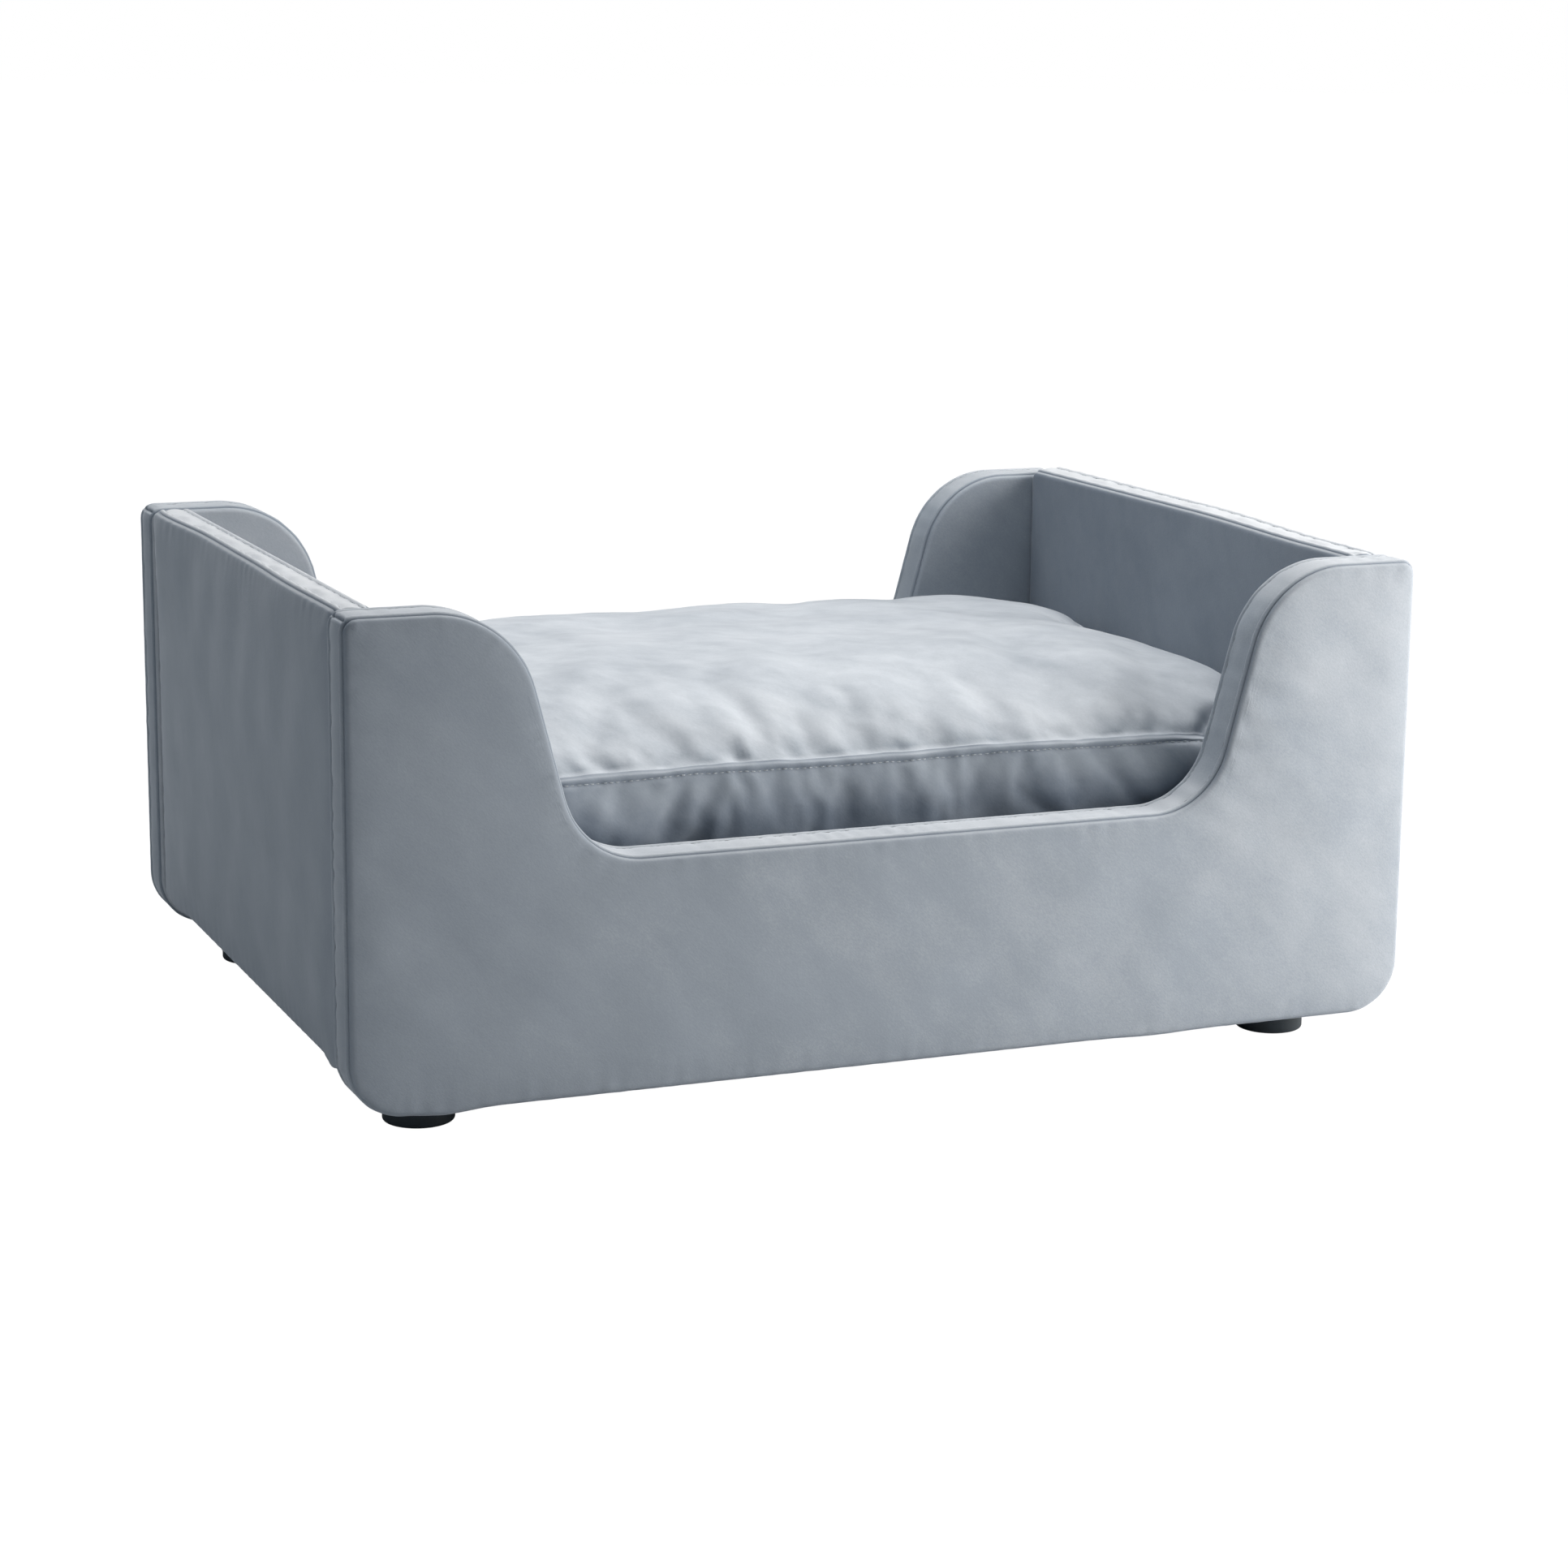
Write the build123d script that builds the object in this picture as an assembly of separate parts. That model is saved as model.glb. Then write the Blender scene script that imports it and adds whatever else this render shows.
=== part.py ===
from build123d import *

import math
import os
from dataclasses import dataclass

# Dog bed with an upholstered frame. Four padded panels are bolted round a timber base on four
# feet, and a loose zipped cushion rests on the deck. The front and back panels are alike: two
# wings with a deep scoop between them. The two end panels are plain and stand between them.
#
# Millimetres. Origin on the floor under the middle of the bed, +X along the length,
# +Y from front to back, +Z up.

# Whole bed
LENGTH = 800.0
DEPTH = 600.0
HEIGHT = 360.0

# Upholstery, from the outside in: cover, foam, board
COVER = 1.0
EDGE_FOAM = 5.0
LONG_BOARD = 18.0
LONG_FOAM = 10.0
END_BOARD = 12.0
END_FOAM = 8.0

# Outline of the front and back panels
WING_TOP = 60.0
WING_RADIUS = 73.0
FLANK_LEAN = 15.0
SCOOP_FLOOR = 187.0
SCOOP_RADIUS = 58.0
TOP_CORNER_RADIUS = 10.0
BOTTOM_CORNER_RADIUS = 38.0

# Outline and place of the end panels
END_SET_BACK = 3.0
END_RAISE = 24.0
END_CORNER_RADIUS = 8.0

# Feet
FOOT_DIAMETER = 50.0
FOOT_HEIGHT = 25.0
FOOT_ROUNDING = 2.5
FOOT_FROM_END = 67.0
FOOT_FROM_FACE = 70.0
FOOT_COUNTERBORE_DIAMETER = 14.0
FOOT_COUNTERBORE_DEPTH = 12.0
FOOT_SCREW_DIAMETER = 5.0
FOOT_SCREW_LENGTH = 45.0
FOOT_SCREW_HEAD_DIAMETER = 10.0
FOOT_SCREW_HEAD_HEIGHT = 3.0
SCREW_CLEARANCE = 0.25

# Timber base
DUST_COVER = 0.6
DUST_COVER_GAP = 1.0
RAIL_THICKNESS = 20.0
RAIL_HEIGHT = 90.0
CROSS_RAIL_SPACING = 360.0
CORNER_BLOCK = 45.0
DECK_THICKNESS = 9.0
DECK_GAP = 1.0
DECK_SCREW_DIAMETER = 4.0
DECK_SCREW_LENGTH = 30.0
DECK_SCREW_HEAD_DIAMETER = 8.0
DECK_SCREW_HEAD_HEIGHT = 2.5
DECK_SCREW_SPACING = 240.0

# Panel bolts, with washers inside the rails and tee nuts in the boards
BOLT_DIAMETER = 6.0
BOLT_CLEARANCE = 0.3
BOLT_HEAD_DIAMETER = 10.0
BOLT_HEAD_HEIGHT = 6.0
BOLT_SOCKET_WIDTH = 5.0
BOLT_SOCKET_DEPTH = 3.0
BOLT_LEVEL = 82.0
LONG_BOLT_SPACING = 180.0
LONG_BOLT_TIP_BACK = 5.5
END_BOLT_SPACING = 130.0
END_BOLT_TIP_BACK = 2.5
WASHER_DIAMETER = 18.0
WASHER_THICKNESS = 1.5
TEE_FLANGE_DIAMETER = 19.0
TEE_FLANGE_THICKNESS = 1.2
TEE_BARREL_DIAMETER = 8.0
LONG_TEE_BARREL = 12.0
END_TEE_BARREL = 9.0

# Dowels that line up the end panels with the long panels
DOWEL_DIAMETER = 8.0
DOWEL_GRIP_LONG = 13.0
DOWEL_GRIP_END = 20.0
DOWEL_LOWER_LEVEL = 160.0
DOWEL_UPPER_LEVEL = 310.0

# Cushion
CUSHION_SIDE_GAP = 8.0
CUSHION_DECK_GAP = 0.4
CUSHION_BOXING = 100.0
CUSHION_CROWN = 60.0
CUSHION_EDGE_DROP = 45.0
CUSHION_CORNER_RADIUS = 40.0

# Zip along the middle of the cushion's back boxing
ZIP_LENGTH = 560.0
ZIP_TAPE_WIDTH = 14.0
ZIP_TEETH_WIDTH = 5.0
ZIP_TEETH_PROUD = 0.9
ZIP_STOP_LENGTH = 2.0
ZIP_STOP_PROUD = 0.8
ZIP_GAP = 0.3
SLIDER_LENGTH = 11.0
SLIDER_WALL = 1.2
SLIDER_PARK_GAP = 0.5
POST_DIAMETER = 2.0
POST_CLEARANCE = 0.3
POST_HEAD_DIAMETER = 3.6
POST_HEAD_THICKNESS = 0.8
PULL_LENGTH = 24.0
PULL_WIDTH = 8.0
PULL_THICKNESS = 1.4
PULL_END_CLEARANCE = 0.3
PULL_SLOT_LENGTH = 8.0
PULL_SLOT_WIDTH = 3.0

# Worked out from the sizes above
LONG_THICKNESS = LONG_BOARD + 2 * (LONG_FOAM + COVER)
END_THICKNESS = END_BOARD + 2 * (END_FOAM + COVER)
INSIDE_LENGTH = LENGTH - 2 * (END_SET_BACK + END_THICKNESS)
INSIDE_DEPTH = DEPTH - 2 * LONG_THICKNESS
BASE_BOTTOM = FOOT_HEIGHT + DUST_COVER
DECK_BOTTOM = BASE_BOTTOM + RAIL_HEIGHT
DECK_TOP = DECK_BOTTOM + DECK_THICKNESS
CUSHION_BOTTOM = DECK_TOP + CUSHION_DECK_GAP
CUSHION_SEAM = CUSHION_BOTTOM + CUSHION_BOXING
CUSHION_TOP = CUSHION_SEAM + CUSHION_CROWN
CUSHION_LENGTH = INSIDE_LENGTH - 2 * CUSHION_SIDE_GAP
CUSHION_DEPTH = INSIDE_DEPTH - 2 * CUSHION_SIDE_GAP
ZIP_LEVEL = CUSHION_BOTTOM + CUSHION_BOXING / 2

UP_FROM_BASE = (Align.CENTER, Align.CENTER, Align.MIN)


def group(shapes):
    """One node of several separate solids."""
    return Compound(children=[solid for shape in shapes for solid in shape.solids()])


def rod(diameter, start, length):
    """A round bar standing up from the height start."""
    return Pos(0, 0, start) * Cylinder(diameter / 2, length, align=UP_FROM_BASE)


def block(size_x, size_y, size_z, x, y, bottom):
    """A rectangular piece of timber, by its middle in plan and its underside."""
    return Pos(x, y, bottom) * Box(size_x, size_y, size_z, align=UP_FROM_BASE)


def corners(x, y):
    """The four points at plus and minus x and y."""
    return [(side * x, face * y) for side in (-1, 1) for face in (-1, 1)]


# Panels. Each is made flat in its own axes, x along the panel, y up, z the depth from its outer
# face, and is then stood in its place.


@dataclass(frozen=True)
class Panel:
    """One upholstered panel: its outline, its layers, its bolts and where it stands."""

    name: str
    stand: Plane
    outline: Sketch
    board: float
    foam: float
    bolt_places: tuple
    barrel: float
    tip_back: float

    @property
    def board_start(self):
        return COVER + self.foam

    @property
    def inner_foam_start(self):
        return self.board_start + self.board

    @property
    def thickness(self):
        return self.board + 2 * (self.foam + COVER)

    def layer(self, sketch, start, thickness):
        """A sketch of the panel carried through part of its depth."""
        return extrude(Pos(0, 0, start) * sketch, thickness)

    def layers(self):
        """Cover, foam and board, which meet face to face."""
        padding = offset(self.outline, amount=-COVER, kind=Kind.INTERSECTION)
        core = offset(self.outline, amount=-(COVER + EDGE_FOAM), kind=Kind.INTERSECTION)
        inside = self.thickness - 2 * COVER
        return {
            "outer_cover": self.layer(self.outline, 0, COVER),
            "boxing": self.layer(self.outline - padding, COVER, inside),
            "inner_cover": self.layer(self.outline, self.thickness - COVER, COVER),
            "outer_foam": self.layer(padding, COVER, self.foam),
            "edge_foam": self.layer(padding - core, self.board_start, self.board),
            "inner_foam": self.layer(padding, self.inner_foam_start, self.foam),
            "board": self.layer(core, self.board_start, self.board),
        }

    def at_bolts(self, shape):
        """A copy of the shape at each bolt's place, in the bed's axes."""
        return [self.stand * Pos(x, BOLT_LEVEL, 0) * shape for x in self.bolt_places]

    @property
    def rail_face(self):
        return self.thickness + RAIL_THICKNESS

    def bolts(self):
        """Socket-head bolts whose tips stop inside the tee nuts."""
        tip = self.board_start + self.tip_back
        under_head = self.rail_face + WASHER_THICKNESS
        shank = rod(BOLT_DIAMETER, tip, under_head - tip)
        head = rod(BOLT_HEAD_DIAMETER, under_head, BOLT_HEAD_HEIGHT)
        socket = extrude(
            Pos(0, 0, under_head + BOLT_HEAD_HEIGHT - BOLT_SOCKET_DEPTH)
            * RegularPolygon(BOLT_SOCKET_WIDTH / 2, 6, major_radius=False),
            BOLT_SOCKET_DEPTH,
        )
        return self.at_bolts(shank + head - socket)

    def washers(self):
        """Plain washers under the bolt heads."""
        plate = rod(WASHER_DIAMETER, self.rail_face, WASHER_THICKNESS)
        hole = rod(BOLT_DIAMETER, self.rail_face, WASHER_THICKNESS)
        return self.at_bolts(plate - hole)

    def tee_nut_blank(self):
        """A tee nut before it is bored: a flange on the board's outer face and a barrel."""
        flange = rod(
            TEE_FLANGE_DIAMETER, self.board_start - TEE_FLANGE_THICKNESS, TEE_FLANGE_THICKNESS
        )
        return flange + rod(TEE_BARREL_DIAMETER, self.board_start, self.barrel)

    def tee_nuts(self):
        """Tee nuts bored right through for the bolts."""
        bore_length = TEE_FLANGE_THICKNESS + self.barrel
        bore = rod(BOLT_DIAMETER, self.board_start - TEE_FLANGE_THICKNESS, bore_length)
        return self.at_bolts(self.tee_nut_blank() - bore)

    def bolt_holes(self):
        """What is drilled out for the bolts and tee nuts."""
        start = self.board_start + self.barrel
        hole = rod(BOLT_DIAMETER + 2 * BOLT_CLEARANCE, start, self.rail_face - start)
        return self.at_bolts(self.tee_nut_blank() + hole)


def long_outline():
    """Front view of a long panel: a wing at each end and a scoop between them."""
    half = LENGTH / 2
    turn = math.radians(90 - FLANK_LEAN)
    wing_corner = half - WING_TOP - WING_RADIUS * math.tan(turn / 2)
    scoop_corner = wing_corner - (HEIGHT - SCOOP_FLOOR) * math.tan(math.radians(FLANK_LEAN))
    right = [
        (half, FOOT_HEIGHT),
        (half, HEIGHT),
        (wing_corner, HEIGHT),
        (scoop_corner, SCOOP_FLOOR),
    ]
    radii = [BOTTOM_CORNER_RADIUS, TOP_CORNER_RADIUS, WING_RADIUS, SCOOP_RADIUS]
    left = [(-x, z) for x, z in reversed(right)]
    return make_face(FilletPolyline(right + left, radius=radii + radii[::-1], close=True))


def end_outline():
    """Side view of an end panel: a rectangle that fills the space between the long panels."""
    bottom = FOOT_HEIGHT + END_RAISE
    rectangle = RectangleRounded(INSIDE_DEPTH, HEIGHT - bottom, END_CORNER_RADIUS)
    return Pos(0, (HEIGHT + bottom) / 2) * rectangle


def all_panels():
    """The four panels, each standing with its outer face outwards."""
    long_shape = {
        "outline": long_outline(),
        "board": LONG_BOARD,
        "foam": LONG_FOAM,
        "bolt_places": tuple(LONG_BOLT_SPACING * step for step in (-1.5, -0.5, 0.5, 1.5)),
        "barrel": LONG_TEE_BARREL,
        "tip_back": LONG_BOLT_TIP_BACK,
    }
    end_shape = {
        "outline": end_outline(),
        "board": END_BOARD,
        "foam": END_FOAM,
        "bolt_places": tuple(END_BOLT_SPACING * step for step in (-1, 0, 1)),
        "barrel": END_TEE_BARREL,
        "tip_back": END_BOLT_TIP_BACK,
    }
    face_y = DEPTH / 2
    face_x = LENGTH / 2 - END_SET_BACK
    return [
        Panel("front_panel", Plane((0, -face_y, 0), (-1, 0, 0), (0, 1, 0)), **long_shape),
        Panel("back_panel", Plane((0, face_y, 0), (1, 0, 0), (0, -1, 0)), **long_shape),
        Panel("left_end", Plane((-face_x, 0, 0), (0, 1, 0), (1, 0, 0)), **end_shape),
        Panel("right_end", Plane((face_x, 0, 0), (0, -1, 0), (-1, 0, 0)), **end_shape),
    ]


def dowels():
    """Two dowels at each corner, from an end panel's board into a long panel's board."""
    in_long = COVER + LONG_FOAM + DOWEL_GRIP_LONG
    in_end = COVER + EDGE_FOAM + DOWEL_GRIP_END
    x = LENGTH / 2 - END_SET_BACK - END_THICKNESS / 2
    y = INSIDE_DEPTH / 2 + (in_long - in_end) / 2
    pin = Rotation(90, 0, 0) * Cylinder(DOWEL_DIAMETER / 2, in_long + in_end)
    levels = (DOWEL_LOWER_LEVEL, DOWEL_UPPER_LEVEL)
    return [Pos(px, py, z) * pin for px, py in corners(x, y) for z in levels]


# Feet and base


def foot_places():
    """Middles of the four feet."""
    return corners(LENGTH / 2 - FOOT_FROM_END, DEPTH / 2 - FOOT_FROM_FACE)


def foot():
    """A round moulded foot with a rounded lower edge and a recess for its screw."""
    body = rod(FOOT_DIAMETER, 0, FOOT_HEIGHT)
    body = fillet(body.edges().group_by(Axis.Z)[0], FOOT_ROUNDING)
    recess = rod(FOOT_COUNTERBORE_DIAMETER, 0, FOOT_COUNTERBORE_DEPTH)
    hole = rod(FOOT_SCREW_DIAMETER + 2 * SCREW_CLEARANCE, 0, FOOT_HEIGHT)
    return body - recess - hole


def foot_screw():
    """A pan-head screw that goes up through a foot into a corner block."""
    head_bottom = FOOT_COUNTERBORE_DEPTH - FOOT_SCREW_HEAD_HEIGHT
    head = rod(FOOT_SCREW_HEAD_DIAMETER, head_bottom, FOOT_SCREW_HEAD_HEIGHT)
    return head + rod(FOOT_SCREW_DIAMETER, FOOT_COUNTERBORE_DEPTH, FOOT_SCREW_LENGTH)


def deck_screws():
    """Countersunk screws, flush with the deck, into the middle of each outer rail."""
    head_bottom = DECK_TOP - DECK_SCREW_HEAD_HEIGHT
    shank_length = DECK_SCREW_LENGTH - DECK_SCREW_HEAD_HEIGHT
    head = Pos(0, 0, head_bottom) * Cone(
        DECK_SCREW_DIAMETER / 2,
        DECK_SCREW_HEAD_DIAMETER / 2,
        DECK_SCREW_HEAD_HEIGHT,
        align=UP_FROM_BASE,
    )
    screw = head + rod(DECK_SCREW_DIAMETER, head_bottom - shank_length, shank_length)
    rail_x = (INSIDE_LENGTH - RAIL_THICKNESS) / 2
    rail_y = (INSIDE_DEPTH - RAIL_THICKNESS) / 2
    along = [(step * DECK_SCREW_SPACING, face * rail_y) for step in (-1, 0, 1) for face in (-1, 1)]
    places = along + [(-rail_x, 0), (rail_x, 0)]
    return [Pos(x, y, 0) * screw for x, y in places]


def base_pieces():
    """Rails, cross rails and corner blocks, before they are drilled."""
    rail_x = (INSIDE_LENGTH - RAIL_THICKNESS) / 2
    rail_y = (INSIDE_DEPTH - RAIL_THICKNESS) / 2
    between = INSIDE_DEPTH - 2 * RAIL_THICKNESS
    block_x = INSIDE_LENGTH / 2 - RAIL_THICKNESS - CORNER_BLOCK / 2
    block_y = INSIDE_DEPTH / 2 - RAIL_THICKNESS - CORNER_BLOCK / 2

    def long_rail(y):
        return block(INSIDE_LENGTH, RAIL_THICKNESS, RAIL_HEIGHT, 0, y, BASE_BOTTOM)

    def short_rail(x):
        return block(RAIL_THICKNESS, between, RAIL_HEIGHT, x, 0, BASE_BOTTOM)

    pieces = {
        "front_rail": long_rail(-rail_y),
        "back_rail": long_rail(rail_y),
        "left_rail": short_rail(-rail_x),
        "right_rail": short_rail(rail_x),
        "left_cross_rail": short_rail(-CROSS_RAIL_SPACING / 2),
        "right_cross_rail": short_rail(CROSS_RAIL_SPACING / 2),
    }
    names = ("left_front", "left_back", "right_front", "right_back")
    for name, (x, y) in zip(names, corners(block_x, block_y)):
        pieces[f"{name}_block"] = block(CORNER_BLOCK, CORNER_BLOCK, RAIL_HEIGHT, x, y, BASE_BOTTOM)
    return pieces


def deck():
    """Plywood deck that closes the base and carries the cushion."""
    size_x = INSIDE_LENGTH - 2 * DECK_GAP
    size_y = INSIDE_DEPTH - 2 * DECK_GAP
    return block(size_x, size_y, DECK_THICKNESS, 0, 0, DECK_BOTTOM)


def dust_cover():
    """Thin non-woven cloth under the base, pierced by the foot screws."""
    size_x = INSIDE_LENGTH - 2 * DUST_COVER_GAP
    size_y = INSIDE_DEPTH - 2 * DUST_COVER_GAP
    cloth = block(size_x, size_y, DUST_COVER, 0, 0, FOOT_HEIGHT)
    hole = rod(FOOT_SCREW_DIAMETER + 2 * SCREW_CLEARANCE, FOOT_HEIGHT, DUST_COVER)
    for x, y in foot_places():
        cloth = cloth - Pos(x, y, 0) * hole
    return cloth


# Cushion


def arch(across, inset):
    """A long round bar whose top is the crown's curve over the given width."""
    radius = ((across / 2) ** 2 + CUSHION_EDGE_DROP**2) / (2 * CUSHION_EDGE_DROP)
    return Cylinder(radius - inset, 2 * max(LENGTH, DEPTH)), CUSHION_TOP - radius


def cushion_body(inset):
    """The cushion's outer shape, or with an inset the fill inside its cover.

    Upright sides with rounded corners, under a top that is crowned both ways.
    """
    outline = RectangleRounded(
        CUSHION_LENGTH - 2 * inset,
        CUSHION_DEPTH - 2 * inset,
        CUSHION_CORNER_RADIUS - inset,
    )
    bottom = CUSHION_BOTTOM + inset
    upright = extrude(Pos(0, 0, bottom) * outline, CUSHION_TOP - bottom)
    over_depth, depth_centre = arch(CUSHION_DEPTH, inset)
    over_length, length_centre = arch(CUSHION_LENGTH, inset)
    crowned = upright & (Pos(0, 0, depth_centre) * Rotation(0, 90, 0) * over_depth)
    return crowned & (Pos(0, 0, length_centre) * Rotation(90, 0, 0) * over_length)


def slab(low, high):
    """Everything between two heights, wide enough for the whole bed."""
    return block(2 * LENGTH, 2 * DEPTH, high - low, 0, 0, low)


def zip_opening():
    """The slot in the cushion's back boxing that the zip fills."""
    width = 2 * ZIP_TAPE_WIDTH + ZIP_TEETH_WIDTH
    y = CUSHION_DEPTH / 2 - COVER / 2
    return block(ZIP_LENGTH, COVER, width, 0, y, ZIP_LEVEL - width / 2)


def cushion_pieces():
    """Fill and three-part cover, which meet face to face at the two seams."""
    fill = cushion_body(COVER)
    cover = cushion_body(0) - fill
    boxing_bottom = CUSHION_BOTTOM + COVER
    return {
        "cushion_fill": fill,
        "cushion_top_cover": cover & slab(CUSHION_SEAM, CUSHION_TOP),
        "cushion_boxing": (cover & slab(boxing_bottom, CUSHION_SEAM)) - zip_opening(),
        "cushion_bottom_cover": cover & slab(CUSHION_BOTTOM, boxing_bottom),
    }


def zip_pieces():
    """Two tapes in the boxing's slot, the teeth between them and a stop at each end."""
    face = CUSHION_DEPTH / 2
    tape_y = face - COVER / 2
    teeth_depth = COVER + ZIP_TEETH_PROUD
    teeth_y = face - COVER + teeth_depth / 2
    lower = ZIP_LEVEL - ZIP_TEETH_WIDTH / 2 - ZIP_TAPE_WIDTH
    upper = ZIP_LEVEL + ZIP_TEETH_WIDTH / 2
    stop_y = face + ZIP_TEETH_PROUD + ZIP_STOP_PROUD / 2
    stop_x = (ZIP_LENGTH - ZIP_STOP_LENGTH) / 2
    teeth_bottom = ZIP_LEVEL - ZIP_TEETH_WIDTH / 2
    stops = [
        block(ZIP_STOP_LENGTH, ZIP_STOP_PROUD, ZIP_TEETH_WIDTH, side * stop_x, stop_y, teeth_bottom)
        for side in (-1, 1)
    ]
    return {
        "zip_tapes": group(
            block(ZIP_LENGTH, COVER, ZIP_TAPE_WIDTH, 0, tape_y, z) for z in (lower, upper)
        ),
        "zip_teeth": block(ZIP_LENGTH, teeth_depth, ZIP_TEETH_WIDTH, 0, teeth_y, teeth_bottom),
        "zip_stops": group(stops),
    }


# Zip slider and pull. The slider is parked at the left-hand stop and the pull hangs from a headed
# post on its face. Each is made flat, z out from the boxing's outer face, and is then stood up.
SLIDER_PLATE_START = ZIP_TEETH_PROUD + ZIP_GAP
POST_START = SLIDER_PLATE_START + SLIDER_WALL
POST_LENGTH = PULL_THICKNESS + 2 * PULL_END_CLEARANCE
SLIDER_WIDTH = ZIP_TEETH_WIDTH + 2 * (ZIP_GAP + SLIDER_WALL)
SLIDER_X = -(ZIP_LENGTH - SLIDER_LENGTH) / 2 + ZIP_STOP_LENGTH + SLIDER_PARK_GAP
SLIDER_STAND = Plane((SLIDER_X, CUSHION_DEPTH / 2, ZIP_LEVEL), (-1, 0, 0), (0, 1, 0))


def slider():
    """A plate with a lip each side of the teeth, and the post for the pull."""
    depth = POST_START - ZIP_GAP
    body = Pos(0, 0, ZIP_GAP) * Box(SLIDER_LENGTH, SLIDER_WIDTH, depth, align=UP_FROM_BASE)
    body = fillet(body.edges().filter_by(Axis.Z), SLIDER_WALL)
    channel = Box(SLIDER_LENGTH, ZIP_TEETH_WIDTH + 2 * ZIP_GAP, SLIDER_PLATE_START, align=UP_FROM_BASE)
    post = rod(POST_DIAMETER, POST_START, POST_LENGTH)
    head = rod(POST_HEAD_DIAMETER, POST_START + POST_LENGTH, POST_HEAD_THICKNESS)
    return SLIDER_STAND * (body - channel + post + head)


def pull():
    """A flat tab hanging from the post by its eye, with a slot near its free end."""
    eye = POST_DIAMETER + 2 * POST_CLEARANCE
    hang = PULL_WIDTH / 2 - PULL_LENGTH / 2
    tab = Pos(0, hang) * SlotOverall(PULL_LENGTH, PULL_WIDTH, rotation=90)
    slot = Pos(0, hang - PULL_LENGTH / 4) * SlotOverall(PULL_SLOT_LENGTH, PULL_SLOT_WIDTH, rotation=90)
    sketch = tab - Circle(eye / 2) - slot
    start = POST_START + PULL_END_CLEARANCE
    return SLIDER_STAND * extrude(Pos(0, 0, start) * sketch, PULL_THICKNESS)


def drilled(shape, holes):
    """The shape with each hole taken out of it."""
    for hole in holes:
        shape = shape - hole
    return shape


def build():
    """Every node of the bed, by name."""
    nodes = base_pieces()
    panels = all_panels()
    pins = dowels()
    for panel in panels:
        holes = panel.bolt_holes()
        for layer_name, layer in panel.layers().items():
            nodes[f"{panel.name}_{layer_name}"] = drilled(panel.stand * layer, holes + pins)
        rail = f"{panel.name.split('_')[0]}_rail"
        nodes[rail] = drilled(nodes[rail], holes)

    screws = deck_screws()
    nodes["deck"] = drilled(deck(), screws)
    for rail in ("front_rail", "back_rail", "left_rail", "right_rail"):
        nodes[rail] = drilled(nodes[rail], screws)

    names = ("left_front", "left_back", "right_front", "right_back")
    foot_screws = [Pos(x, y, 0) * foot_screw() for x, y in foot_places()]
    for name, (x, y), screw in zip(names, foot_places(), foot_screws):
        nodes[f"{name}_foot"] = Pos(x, y, 0) * foot()
        nodes[f"{name}_block"] = nodes[f"{name}_block"] - screw
    nodes["dust_cover"] = dust_cover()

    nodes["foot_screws"] = group(foot_screws)
    nodes["deck_screws"] = group(screws)
    nodes["panel_bolts"] = group(bolt for panel in panels for bolt in panel.bolts())
    nodes["panel_washers"] = group(washer for panel in panels for washer in panel.washers())
    nodes["panel_tee_nuts"] = group(nut for panel in panels for nut in panel.tee_nuts())
    nodes["panel_dowels"] = group(pins)

    nodes.update(cushion_pieces())
    nodes.update(zip_pieces())
    nodes["zip_slider"] = slider()
    nodes["zip_pull"] = pull()
    return nodes


os.makedirs("parts", exist_ok=True)
for node, shape in build().items():
    export_step(shape, f"parts/{node}.step")
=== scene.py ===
"""Looks of an upholstered dog bed and its loose zipped cushion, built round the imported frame.

Metres, in the frame's own axes: +X along the bed, +Y from front to back, +Z up from the floor.
"""

import logging
import math
from dataclasses import dataclass
from enum import Enum
from typing import Callable

import bmesh
import bpy
import numpy as np
from mathutils import Matrix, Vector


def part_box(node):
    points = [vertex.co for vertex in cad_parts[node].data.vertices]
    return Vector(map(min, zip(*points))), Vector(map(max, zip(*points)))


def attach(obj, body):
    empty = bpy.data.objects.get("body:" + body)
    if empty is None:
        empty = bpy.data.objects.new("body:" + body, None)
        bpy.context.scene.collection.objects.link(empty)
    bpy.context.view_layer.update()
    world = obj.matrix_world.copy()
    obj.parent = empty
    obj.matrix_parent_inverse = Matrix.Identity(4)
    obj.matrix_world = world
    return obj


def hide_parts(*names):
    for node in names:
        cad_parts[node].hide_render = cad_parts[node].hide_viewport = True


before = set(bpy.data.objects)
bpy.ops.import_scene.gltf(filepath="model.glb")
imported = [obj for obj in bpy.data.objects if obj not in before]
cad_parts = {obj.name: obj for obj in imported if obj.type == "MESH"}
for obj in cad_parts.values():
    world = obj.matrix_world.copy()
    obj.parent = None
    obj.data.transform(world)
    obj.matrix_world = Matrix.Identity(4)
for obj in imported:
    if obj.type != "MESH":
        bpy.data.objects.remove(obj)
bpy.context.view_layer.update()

LOG = logging.getLogger("dog_bed")
MM = 0.001
BED = "bed_frame"
CUSHION = "cushion"
SIDE_FADE = 12
WAVE_UNIT = 20.0
BAR_SIDES = 6
CORNERS = ("left_front", "left_back", "right_front", "right_back")
Array = np.ndarray
Colour = tuple[float, float, float]


# ---------------------------------------------------------------- shader graphs


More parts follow.
